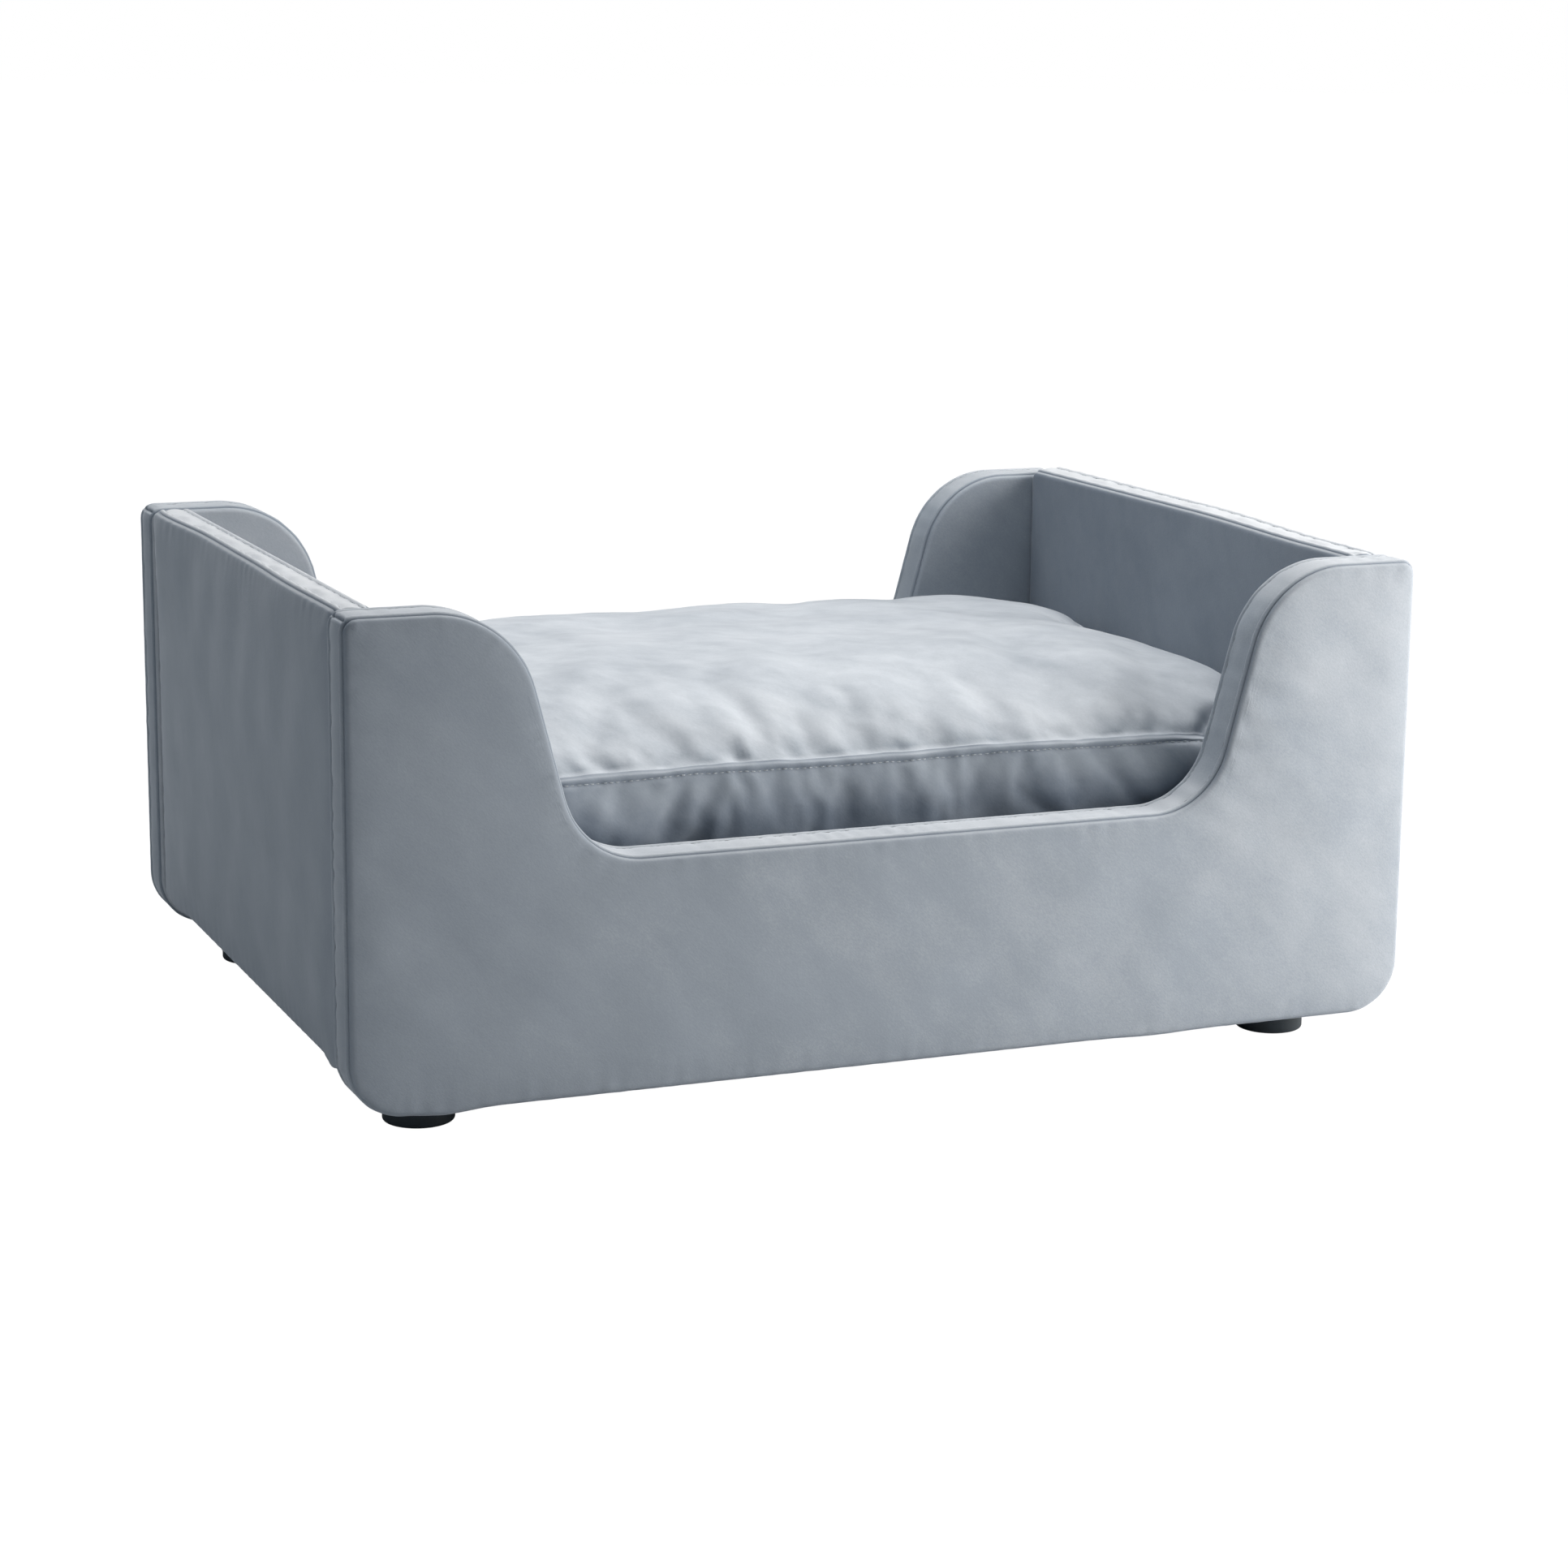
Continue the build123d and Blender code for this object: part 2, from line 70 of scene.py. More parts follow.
class Term:
    """A shader socket that takes part in arithmetic. Each operation adds one Math node."""

    def __init__(self, graph: "Graph", socket: bpy.types.NodeSocket | None) -> None:
        """Wraps a socket of a graph."""
        self.graph = graph
        self.socket = socket

    def _math(self, operation: str, *values: "Term | float") -> "Term":
        """Adds one Math node."""
        return self.graph.node("Math", {"operation": operation}, dict(enumerate(values)))

    def __add__(self, other: "Term | float") -> "Term":
        """Sum."""
        return self._math("ADD", self, other)

    def __sub__(self, other: "Term | float") -> "Term":
        """Difference."""
        return self._math("SUBTRACT", self, other)

    def __rsub__(self, other: "Term | float") -> "Term":
        """Difference from a number."""
        return self._math("SUBTRACT", other, self)

    def __mul__(self, other: "Term | float") -> "Term":
        """Product."""
        return self._math("MULTIPLY", self, other)

    def __gt__(self, other: "Term | float") -> "Term":
        """One where this is greater, zero elsewhere."""
        return self._math("GREATER_THAN", self, other)

    __radd__ = __add__
    __rmul__ = __mul__

    def held(self) -> "Term":
        """This value kept between 0 and 1."""
        return self.graph.node("Clamp", {}, {"Value": self})

    def fraction(self) -> "Term":
        """What is left of this value above its whole part."""
        return self._math("FRACT", self)

    def size(self) -> "Term":
        """The value without its sign."""
        return self._math("ABSOLUTE", self)


class Graph:
    """The node graph of one material."""

    def __init__(self, name: str) -> None:
        """Starts an empty material.

        Args:
            name: the material's name.
        """
        self.material = bpy.data.materials.new(name)
        self.material.use_nodes = True
        self.tree = self.material.node_tree
        self.tree.nodes.clear()

    def node(self, kind: str, settings: dict, sockets: dict, out: int | str = 0) -> Term:
        """Adds one node.

        Args:
            kind: its type, without the ShaderNode prefix.
            settings: its own settings, and "stops" for a ramp.
            sockets: a value or a Term for each input, by name or number.
            out: the output to return.

        Returns:
            The wrapped output.
        """
        made = self.tree.nodes.new(f"ShaderNode{kind}")
        for key, value in settings.items():
            if key != "stops":
                setattr(made, key, value)
                continue
            elements = made.color_ramp.elements
            for place, tone in value[2:]:
                elements.new(place).color = (*tone, 1.0)
            for element, (place, tone) in zip((elements[0], elements[-1]), value[:2]):
                element.position, element.color = place, (*tone, 1.0)
        for key, value in sockets.items():
            if isinstance(value, Term):
                self.tree.links.new(value.socket, made.inputs[key])
            else:
                made.inputs[key].default_value = value
        return Term(self, made.outputs[out] if made.outputs else None)

    def place(self, turn: Colour = (0, 0, 0), stretch: Colour = (1, 1, 1)) -> Term:
        """Object coordinates, turned by angles in radians and then scaled.

        Args:
            turn: the angles about x, y and z.
            stretch: the scale along x, y and z.

        Returns:
            The coordinates.
        """
        here = self.node("TexCoord", {}, {}, "Object")
        turned = self.node("Mapping", {}, {"Vector": here, "Rotation": turn})
        return self.node("Mapping", {}, {"Vector": turned, "Scale": stretch})

    def noise(self, where: Term, scale: float, detail: float = 2.0, rough: float = 0.5) -> Term:
        """Fractal noise from 0 to 1, with its features one over scale metres across."""
        inputs = {"Vector": where, "Scale": scale, "Detail": detail, "Roughness": rough}
        return self.node("TexNoise", {}, inputs)

    def mix(self, factor: Term | float, first: Term | Colour, second: Term | Colour) -> Term:
        """Two colours mixed by a factor. A Mix node's colours are its inputs 6 and 7 and its output 2."""
        sides = [side if isinstance(side, Term) else (*side, 1.0) for side in (first, second)]
        return self.node("Mix", {"data_type": "RGBA"}, {0: factor, 6: sides[0], 7: sides[1]}, 2)

    def attribute(self, name: str) -> Term:
        """A number stored on the mesh."""
        return self.node("Attribute", {"attribute_name": name}, {}, "Fac")

    def shade(
        self, varied: dict, constant: dict, height: Term | None = None, lift: float = 0.0
    ) -> bpy.types.Material:
        """Ends the graph in a Principled shader.

        Args:
            varied: sockets that change over the surface.
            constant: sockets with one value all over.
            height: relief for the normal, if any.
            lift: how far the relief rises, in metres.

        Returns:
            The finished material.
        """
        sockets = {**varied, **constant}
        if height is not None:
            sockets["Normal"] = self.node("Bump", {}, {"Height": height, "Distance": lift, "Strength": 1.0})
        shader = self.node("BsdfPrincipled", {}, sockets)
        self.node("OutputMaterial", {}, {"Surface": shader})
        return self.material


# ---------------------------------------------------------------- finishes


@dataclass(frozen=True)
class VelvetFinish:
    """Short-pile velvet with brushed patches, and painted light and shade by which way the surface faces.

    The patch, brushed and fleck fields say how much of the way from shadow to light each noise
    moves the colour. The piece's stored attribute of painted light and shade shifts it, and its seam
    attribute paints shade into the seams and grooves.
    """

    name: str
    shadow: Colour = (0.125, 0.158, 0.207)
    body: Colour = (0.293, 0.333, 0.384)
    light: Colour = (0.640, 0.665, 0.700)
    patch: float = 0.22
    brushed: float = 0.16
    patch_size: float = 0.085
    fleck: float = 0.16
    sheen: float = 0.5
    relief: float = 0.40 * MM

    def material(self) -> bpy.types.Material:
        """Patches of two sizes and a diagonal fleck move the colour between shadow and light.

        Returns:
            The material.
        """
        g = Graph(self.name)
        turned = g.place(turn=(0.5, 0.72, 0.3), stretch=(1.0, 1.0, 0.42))
        patch = g.noise(turned, 1.0 / self.patch_size, 3.0, 0.55)
        smear = g.noise(turned, 4.2 / self.patch_size, 3.0, 0.6)
        fleck = g.noise(turned, 880.0, 2.0, 0.6)
        tone = 0.5 + (patch - 0.5) * self.patch + (smear - 0.5) * self.brushed + (fleck - 0.5) * self.fleck
        # painted light and shade: a stored attribute makes faces that look up paler and some faces darker
        tone = tone + g.attribute("nap") * 0.5
        ramp = {"stops": [(0.0, self.shadow), (1.0, self.light), (0.5, self.body)]}
        colour = g.node("ValToRGB", ramp, {"Fac": tone})
        # painted shade: the seam attribute pulls the colour towards the shadow colour in seams and grooves
        colour = g.mix(g.attribute("seam").held() * 0.55, colour, self.shadow)
        rough = 0.62 + fleck * 0.25
        constant = {
            "Sheen Weight": self.sheen,
            "Sheen Roughness": 0.32,
            "Sheen Tint": (0.90, 0.94, 1.0, 1.0),
            "Specular IOR Level": 0.22,
        }
        relief = fleck * 0.26 + smear * 0.50
        return g.shade({"Base Color": colour, "Roughness": rough}, constant, relief, self.relief)


@dataclass(frozen=True)
class ThreadFinish:
    """Twisted polyester thread."""

    name: str
    colour: Colour = (0.36, 0.40, 0.45)

    def material(self) -> bpy.types.Material:
        """Fine turned bands of light and shade for the twist.

        Returns:
            The material.
        """
        g = Graph(self.name)
        where = g.place(turn=(0.6, 0.6, 0.6))
        bands = g.node("TexWave", {}, {"Vector": where, "Scale": 420.0, "Distortion": 1.5, "Detail": 1.0})
        colour = g.mix(bands * 0.5, self.colour, tuple(0.55 * c for c in self.colour))
        sockets = {"Base Color": colour, "Roughness": 0.45 + bands * 0.2}
        return g.shade(sockets, {"Sheen Weight": 0.2}, bands, 0.1 * MM)


@dataclass(frozen=True)
class FoamFinish:
    """Open-cell polyether foam, cream and slightly pitted."""

    name: str
    colour: Colour = (0.80, 0.74, 0.56)

    def material(self) -> bpy.types.Material:
        """Small round cells, with wide patches of yellowing.

        Returns:
            The material.
        """
        g = Graph(self.name)
        where = g.place()
        cells = g.node("TexVoronoi", {}, {"Vector": where, "Scale": 900.0})
        aged = g.noise(where, 14.0, 2.0)
        colour = g.mix(aged, self.colour, (0.74, 0.62, 0.38))
        colour = g.mix(cells * 0.35, colour, (0.45, 0.38, 0.24))
        return g.shade({"Base Color": colour, "Roughness": 0.9 - cells * 0.1}, {}, cells, 0.3 * MM)


class Along(Enum):
    """The axis that a board's grain runs along, as the stretch that lays noise out that way."""

    X = (0.06, 1.0, 1.0)
    Y = (1.0, 0.06, 1.0)
    Z = (1.0, 1.0, 0.06)


@dataclass(frozen=True)
class TimberFinish:
    """Sawn timber or veneer with a long grain, and fibres that catch the light.

    The ring field is how many rings there are to the metre, and ply the thickness of one ply.
    """

    name: str
    pale: Colour
    dark: Colour
    grain: Along = Along.X
    ring: float = 55.0
    ply: float = 0.0

    def material(self) -> bpy.types.Material:
        """Stretched noise for the growth rings, finer noise for the fibres, stripes for the plies.

        Returns:
            The material.
        """
        g = Graph(self.name)
        where = g.place(stretch=self.grain.value)
        rings = g.noise(where, self.ring, 3.0, 0.55)
        bands = (rings * 7.0).fraction()
        fibre = g.noise(where, 900.0, 2.0, 0.6)
        tone = (bands * 0.55 + fibre * 0.45).held()
        colour = g.mix(tone, self.pale, self.dark)
        if self.ply:
            here = g.node("SeparateXYZ", {}, {"Vector": g.place()}, "Z")
            glue = ((here * (1.0 / self.ply)).fraction() - 0.5).size() > 0.44
            side = g.node("SeparateXYZ", {}, {"Vector": g.node("NewGeometry", {}, {}, "Normal")}, "Z").size()
            colour = g.mix(glue * (1.0 - side).held() * 0.6, colour, tuple(0.3 * c for c in self.dark))
        return g.shade({"Base Color": colour, "Roughness": 0.55 + fibre * 0.3}, {}, tone, 0.12 * MM)


@dataclass(frozen=True)
class MouldedFinish:
    """Moulded plastic with a fine spark texture and rubbed patches."""

    name: str
    colour: Colour
    rough: float = 0.42
    grain: float = 1400.0

    def material(self) -> bpy.types.Material:
        """A fine grain for the relief and a wide noise for the rubbed patches.

        Returns:
            The material.
        """
        g = Graph(self.name)
        where = g.place()
        grain = g.noise(where, self.grain, 2.0)
        rubbed = g.noise(where, 60.0, 3.0)
        colour = g.mix(rubbed * 0.5, self.colour, tuple(1.9 * c + 0.004 for c in self.colour))
        rough = self.rough + rubbed * 0.16 + grain * 0.08
        sockets = {"Base Color": colour, "Roughness": rough}
        return g.shade(sockets, {"Specular IOR Level": 0.45}, grain, 0.08 * MM)


@dataclass(frozen=True)
class MetalFinish:
    """Plated metal with a faint mottle and fine rubbing marks."""

    name: str
    colour: Colour
    tarnish: Colour
    rough: float = 0.34

    def material(self) -> bpy.types.Material:
        """A mottle between bright and tarnished, with fine scratches along one way.

        Returns:
            The material.
        """
        g = Graph(self.name)
        mottle = g.noise(g.place(), 260.0, 4.0, 0.6)
        marks = g.noise(g.place(stretch=(1.0, 0.15, 1.0)), 2600.0, 2.0)
        colour = g.mix(mottle, self.colour, self.tarnish)
        rough = self.rough + mottle * 0.18 + marks * 0.08
        return g.shade({"Base Color": colour, "Roughness": rough}, {"Metallic": 1.0}, marks, 0.03 * MM)


@dataclass(frozen=True)
class WovenFinish:
    """A plain or twilled textile: two families of threads that cross."""

    name: str
    colour: Colour
    pitch: float = 0.6 * MM
    turn: Colour = (0.0, 0.0, 0.0)
    loft: float = 0.15 * MM
    fuzz: float = 0.5

    def material(self) -> bpy.types.Material:
        """Two wave patterns at right angles, broken up by noise.

        Returns:
            The material.
        """
        g = Graph(self.name)
        where = g.place(turn=self.turn)
        scale = math.tau / (WAVE_UNIT * self.pitch)
        waves = [
            g.node("TexWave", {"bands_direction": way}, {"Vector": where, "Scale": scale, "Distortion": 0.6})
            for way in ("X", "Z" if self.turn == (0.0, 0.0, 0.0) else "Y")
        ]
        weave = waves[0] * 0.5 + waves[1] * 0.5
        slub = g.noise(where, 300.0, 3.0, 0.6)
        dark = tuple(0.45 * c for c in self.colour)
        colour = g.mix((weave * 0.6 + slub * 0.5).held(), dark, self.colour)
        varied = {"Base Color": colour, "Roughness": 0.7 + slub * 0.2}
        return g.shade(varied, {"Sheen Weight": 0.25}, weave + slub * self.fuzz, self.loft)


VELVET = VelvetFinish("velvet_panels")
CUSHION_VELVET = VelvetFinish(
    "velvet_cushion", light=(0.620, 0.660, 0.712), patch=0.46, brushed=0.36,
    patch_size=70 * MM, relief=0.20 * MM,
)
PANEL_THREAD = ThreadFinish("panel_thread", colour=(0.27, 0.30, 0.34))
CUSHION_THREAD = ThreadFinish("cushion_thread", (0.40, 0.44, 0.49))
FOAM = FoamFinish("foam")
BLACK_STAIN = (0.050, 0.046, 0.043), (0.014, 0.013, 0.013)
PINE_LONG = TimberFinish("pine_along", *BLACK_STAIN)
PINE_SHORT = TimberFinish("pine_across", *BLACK_STAIN, Along.Y)
PINE_UP = TimberFinish("pine_upright", (0.046, 0.042, 0.040), (0.012, 0.011, 0.011), Along.Z)
PLY_DECK = TimberFinish("plywood_deck", (0.72, 0.54, 0.33), (0.52, 0.35, 0.19), ring=22.0, ply=1.8 * MM)
PLY_BOARD = TimberFinish("plywood_board", (0.70, 0.52, 0.32), (0.50, 0.34, 0.18), ring=22.0)
BEECH = TimberFinish("beech_dowel", (0.72, 0.50, 0.32), (0.56, 0.36, 0.21), ring=160.0)
FOOT_PLASTIC = MouldedFinish("foot_plastic", (0.019, 0.029, 0.038))
ZINC = MetalFinish("zinc_steel", (0.66, 0.67, 0.70), (0.42, 0.43, 0.46))
ZIP_METAL = MetalFinish("zip_metal", (0.50, 0.50, 0.52), (0.24, 0.24, 0.26), 0.28)
DUST_CLOTH = WovenFinish("dust_cloth", (0.030, 0.030, 0.033), 1.1 * MM, (0.0, 0.0, 0.785), fuzz=1.0)
ZIP_TAPE = WovenFinish("zip_tape", (0.20, 0.225, 0.26))
ZIP_COIL = MouldedFinish("zip_coil", (0.17, 0.19, 0.22), 0.3, 3000.0)


# ---------------------------------------------------------------- shapes


@dataclass(frozen=True)
class Outline:
    """A closed outline of straight runs and rounded corners, walked anticlockwise.

    Each corner is (across, up, radius). A corner of radius r that turns by an angle a is an arc of
    length r a, which starts r tan(a / 2) before the corner.
    """

    corners: tuple[tuple[float, float, float], ...]

    def _elements(self) -> tuple[Array, Array, Array, Array]:
        """Start points, headings, curvatures and lengths of each arc and the run that follows it.

        Returns:
            Four arrays, with two rows for each corner.
        """
        table = np.array(self.corners)
        points, radii = table[:, :2], table[:, 2]
        ahead = np.roll(points, -1, 0) - points
        lengths = np.linalg.norm(ahead, axis=1)
        heading = np.arctan2(ahead[:, 1], ahead[:, 0])
        before = np.roll(heading, 1)
        turn = (heading - before + math.pi) % math.tau - math.pi
        reach = radii * np.tan(np.abs(turn) / 2)
        way = ahead / lengths[:, None]
        starts = np.stack([points - np.roll(way, 1, 0) * reach[:, None], points + way * reach[:, None]], 1)
        headings = np.stack([before, heading], 1)
        curvatures = np.stack([np.sign(turn) / radii, np.zeros_like(radii)], 1)
        runs = np.stack([radii * np.abs(turn), lengths - reach - np.roll(reach, -1)], 1)
        return starts.reshape(-1, 2), headings.ravel(), curvatures.ravel(), runs.ravel()

    @property
    def length(self) -> float:
        """The whole way round."""
        return float(self._elements()[3].sum())

    def middle(self, corner: int) -> float:
        """How far along the outline the middle of a corner's arc is."""
        runs = self._elements()[3]
        return float(runs[: 2 * corner].sum() + runs[2 * corner] / 2)

    def at(self, along: Array) -> tuple[Array, Array]:
        """Points and outward normals at distances along the outline.

        An element that starts at p, heading h, with curvature k, has after a length l gone the
        chord l sinc(k l / 2) in the direction h + k l / 2.

        Args:
            along: distances from the start of the first corner's arc.

        Returns:
            Points and outward unit normals, both n by 2.
        """
        starts, headings, curvatures, runs = self._elements()
        ends = np.cumsum(runs)
        along = np.mod(along, ends[-1])
        which = np.minimum(np.searchsorted(ends, along, "right"), len(runs) - 1)
        gone = along - (ends - runs)[which]
        turned = curvatures[which] * gone
        chord = gone * np.sinc(turned / math.tau)
        middle = headings[which] + turned / 2
        points = starts[which] + chord[:, None] * np.stack([np.cos(middle), np.sin(middle)], 1)
        heading = headings[which] + turned
        return points, np.stack([np.sin(heading), -np.cos(heading)], 1)

    def stations(self, across: int, up: int, ends: tuple[int, int, int, int]) -> Array:
        """Distances that divide the four sides between four corners' middles.

        A side is divided evenly in its own direction, so that opposite sides match and a filled
        grid doesn't fold. A top with a scoop in it is divided evenly in length.

        Args:
            across: divisions of the bottom and of the top.
            up: divisions of each upright side.
            ends: the corners between bottom, right, top and left.

        Returns:
            2 (across + up) distances along the outline.
        """
        marks = [self.middle(corner) for corner in ends]
        marks.append(marks[0] + self.length)
        sides = []
        for side, (start, stop, count) in enumerate(zip(marks, marks[1:], (across, up, across, up))):
            along = np.linspace(start, stop, 16 * count + 1)
            gone = along if side == 2 and ends[3] - ends[2] > 1 else self.at(along)[0][:, side % 2]
            share = (gone - gone[0]) / (gone[-1] - gone[0])
            sides.append(np.interp(np.arange(count) / count, share, along))
        return np.concatenate(sides)


def fill_loop(loop: Array, across: int, up: int) -> Array:
    """Fills a closed loop with a grid.

    The ruled surface between bottom and top, plus what the left and the right side depart from
    it, each of which fades with a power of the distance across so that the rows never fold.

    Args:
        loop: 2 (across + up) points, n by k, anticlockwise from the bottom left corner.
        across: divisions of the bottom and the top.
        up: divisions of each side.

    Returns:
        (across + 1) by (up + 1) by k points.
    """
    closed = np.concatenate([loop, loop[:1]])
    bottom = closed[: across + 1, None]
    right = closed[across : across + up + 1][None]
    top = closed[across + up : 2 * across + up + 1][::-1, None]
    left = closed[2 * across + up :][::-1][None]
    u = np.linspace(0, 1, across + 1)[:, None, None]
    v = np.linspace(0, 1, up + 1)[None, :, None]
    ruled = (1 - v) * bottom + v * top
    return ruled + (1 - u) ** SIDE_FADE * (left - ruled[:1]) + u**SIDE_FADE * (right - ruled[-1:])


def patch_faces(across: int, up: int, ring: int, inside: int) -> Array:
    """Quads of a filled loop whose edge is an existing ring of points.

    Args:
        across: divisions of the bottom and the top.
        up: divisions of each side.
        ring: index of the ring's first point.
        inside: index of the first inner point, counted row by row.

    Returns:
        Quads, n by 4.
    """
    index = np.zeros((across + 1, up + 1), int)
    index[1:-1, 1:-1] = inside + np.arange((across - 1) * (up - 1)).reshape(across - 1, up - 1)
    steps = np.arange(2 * (across + up))
    index[:, 0] = ring + steps[: across + 1]
    index[-1, :] = ring + steps[across : across + up + 1]
    index[:, -1] = ring + steps[across + up : 2 * across + up + 1][::-1]
    index[0, 1:] = ring + steps[2 * across + up :][::-1]
    return np.stack([index[:-1, :-1], index[1:, :-1], index[1:, 1:], index[:-1, 1:]], -1).reshape(-1, 4)


def strip_faces(rows: int, around: int, closed: bool = False) -> Array:
    """Quads between rings of points, ring after ring.

    Args:
        rows: how many rings.
        around: points in each ring.
        closed: whether the last ring joins the first.

    Returns:
        Quads, n by 4.
    """
    index = np.arange(rows * around).reshape(rows, around)
    if closed:
        index = np.concatenate([index, index[:1]])
    ahead = np.roll(index, -1, 1)
    return np.stack([index[:-1], ahead[:-1], ahead[1:], index[1:]], -1).reshape(-1, 4)


def ripple(places: Array, size: float, seed: int, waves: int = 16) -> Array:
    """Smooth wandering relief: a sum of plane waves with random directions, lengths and phases.

    Args:
        places: n by k places.
        size: the middle wavelength.
        seed: seed of the random draw.
        waves: how many waves are added.

    Returns:
        n values with a spread of about one.
    """
    draw = np.random.default_rng(seed)
    way = draw.normal(size=(places.shape[1], waves))
    way *= math.tau / (size * draw.uniform(0.7, 1.6, waves)) / np.linalg.norm(way, axis=0)
    return np.sin(places @ way + draw.uniform(0, math.tau, waves)).sum(1) * math.sqrt(2 / waves)


def ease(value: Array) -> Array:
    """A smooth step from 0 to 1 for values from 0 to 1: three squares less two cubes."""
    held = np.clip(value, 0, 1)
    return held * held * (3 - 2 * held)


def bell(offset: Array, width: float) -> Array:
    """A smooth bump, one at zero, that has almost gone at twice its width."""
    return np.exp(-((offset / width) ** 2))


def eased_path(where: Array, places: tuple[float, ...], values: tuple[float, ...]) -> Array:
    """Values at places along a line, joined by smooth steps.

    Args:
        where: the places asked for.
        places: rising places.
        values: the value at each.

    Returns:
        The value at each place asked for.
    """
    place, value = np.array(places), np.array(values)
    which = np.clip(np.searchsorted(place, where) - 1, 0, len(place) - 2)
    share = ease((where - place[which]) / (place[which + 1] - place[which]))
    return value[which] + (value[which + 1] - value[which]) * share


def new_piece(
    name: str, points: Array, polygons: list[Array], materials: list[bpy.types.Material]
) -> bpy.types.Object:
    """Makes a smooth closed piece whose faces point outwards.

    Args:
        name: the piece's name.
        points: n by 3 points.
        polygons: arrays of faces, each with one row a face. The last array takes the last
            material, and every other one the first.
        materials: the piece's materials.

    Returns:
        The object, linked to the scene.
    """
    mesh = bpy.data.meshes.new(name)
    mesh.vertices.add(len(points))
    mesh.vertices.foreach_set("co", np.ascontiguousarray(points, np.float32).ravel())
    corners = np.concatenate([p.ravel() for p in polygons])
    totals = np.concatenate([np.full(len(p), p.shape[1]) for p in polygons])
    mesh.loops.add(len(corners))
    mesh.loops.foreach_set("vertex_index", corners.astype(np.int32))
    mesh.polygons.add(len(totals))
    mesh.polygons.foreach_set("loop_start", (np.cumsum(totals) - totals).astype(np.int32))
    mesh.polygons.foreach_set("loop_total", totals.astype(np.int32))
    mesh.polygons.foreach_set("use_smooth", np.ones(len(totals), bool))
    if len(materials) > 1:
        mark = np.zeros(len(totals), np.int32)
        mark[-len(polygons[-1]) :] = 1
        mesh.polygons.foreach_set("material_index", mark)
    for material in materials:
        mesh.materials.append(material)
    mesh.update()
    mesh.validate()
    work = bmesh.new()
    work.from_mesh(mesh)
    bmesh.ops.recalc_face_normals(work, faces=work.faces)
    work.to_mesh(mesh)
    work.free()
    piece = bpy.data.objects.new(name, mesh)
    bpy.context.scene.collection.objects.link(piece)
    return piece


def store(piece: bpy.types.Object, name: str, values: Array) -> None:
    """Stores a number for each point of a piece."""
    attribute = piece.data.attributes.new(name, "FLOAT", "POINT")
    attribute.data.foreach_set("value", np.ascontiguousarray(values, np.float32))


def paint_light(piece: bpy.types.Object, upward: float, upright: float | Array) -> None:
    """Stores painted light and shade for each point, from -1 to 1, paler as the surface faces up.

    Args:
        piece: the piece.
        upward: the painted light where the surface faces up.
        upright: the painted light and shade where it stands, for the whole piece or for each of its points.
    """
    normals = np.zeros(len(piece.data.vertices) * 3, np.float32)
    piece.data.vertex_normals.foreach_get("vector", normals)
    # painted light: faces that look up take the upward value, faces that stand take the upright one
    share = ease((normals.reshape(-1, 3)[:, 2] - 0.45) / 0.5)
    store(piece, "nap", upright + (upward - upright) * share)


def settle(piece: bpy.types.Object, body: str, nodes: tuple[str, ...] = ()) -> bpy.types.Object:
    """Declares a piece: its body and the nodes that it stands for.

    Args:
        piece: the piece.
        body: the body that it rides on.
        nodes: the nodes that it replaces.

    Returns:
        The same piece.
    """
    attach(piece, body)
    if nodes:
        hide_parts(*nodes)
    LOG.info("%s: %d faces on %s", piece.name, len(piece.data.polygons), body)
    return piece


def bars(
    starts: Array, ends: Array, sides: Array, radius: tuple[float, float], sink: float
) -> tuple[Array, list[Array]]:
    """Short round-ended bars, such as stitches or zip teeth, as five rings of six points each.

    Along a bar, t goes from -1 to 1, its radius is that of a rounded end, and its middle stands
    above its ends by the sink.

    Args:
        starts: n by 3 starts.
        ends: n by 3 ends.
        sides: n by 3 unit vectors that point up from the surface.
        radius: half width and half height.
        sink: how far the ends dip.

    Returns:
        Points and faces.
    """
    along = np.array([-1.0, -0.72, 0.0, 0.72, 1.0])
    girth = np.array([0.3, 0.85, 1.0, 0.85, 0.3])
    turn = np.arange(BAR_SIDES) / BAR_SIDES * math.tau
    half = (ends - starts) / 2
    cross = np.cross(half / np.linalg.norm(half, axis=1, keepdims=True), sides)
    spine = (starts + ends)[:, None] / 2 + half[:, None] * along[:, None]
    spine = spine - sides[:, None] * (sink * along**2)[:, None]
    wide = cross[:, None, None] * (girth[:, None] * np.cos(turn) * radius[0])[None, ..., None]
    high = sides[:, None, None] * (girth[:, None] * np.sin(turn) * radius[1])[None, ..., None]
    points = (spine[:, :, None] + wide + high).reshape(-1, 3)
    size = len(along) * BAR_SIDES
    offset = (np.arange(len(starts)) * size)[:, None, None]
    quads = (strip_faces(len(along), BAR_SIDES)[None] + offset).reshape(-1, 4)
    caps = np.stack([np.arange(BAR_SIDES)[::-1], np.arange(size - BAR_SIDES, size)])
    return points, [quads, (caps[None] + offset).reshape(-1, BAR_SIDES)]


# ---------------------------------------------------------------- panels


@dataclass(frozen=True)
class Stand:
    """Where a panel stands: the middle of its outer face's foot, the way along it and the way in."""

    origin: tuple[float, float, float]
    along: tuple[float, float, float]
    inward: tuple[float, float, float]

    def put(self, plane: Array, depth: Array) -> Array:
        """Points from their place in the panel's plane and their depth below its outer face.

        Args:
            plane: places along the panel and up, in the last axis.
            depth: how far inward each one is.

        Returns:
            Points in space.
        """
        up = np.array((0.0, 0.0, 1.0))
        flat = plane[..., :1] * np.array(self.along) + plane[..., 1:2] * up
        return np.array(self.origin) + flat + depth[..., None] * np.array(self.inward)

    def turn(self, plane: Array) -> Array:
        """Directions in the panel's plane, as directions in space."""
        return plane[..., :1] * np.array(self.along) + plane[..., 1:2] * np.array((0.0, 0.0, 1.0))


class Side(Enum):
    """The two faces of a panel."""

    OUTER = "outer"
    INNER = "inner"


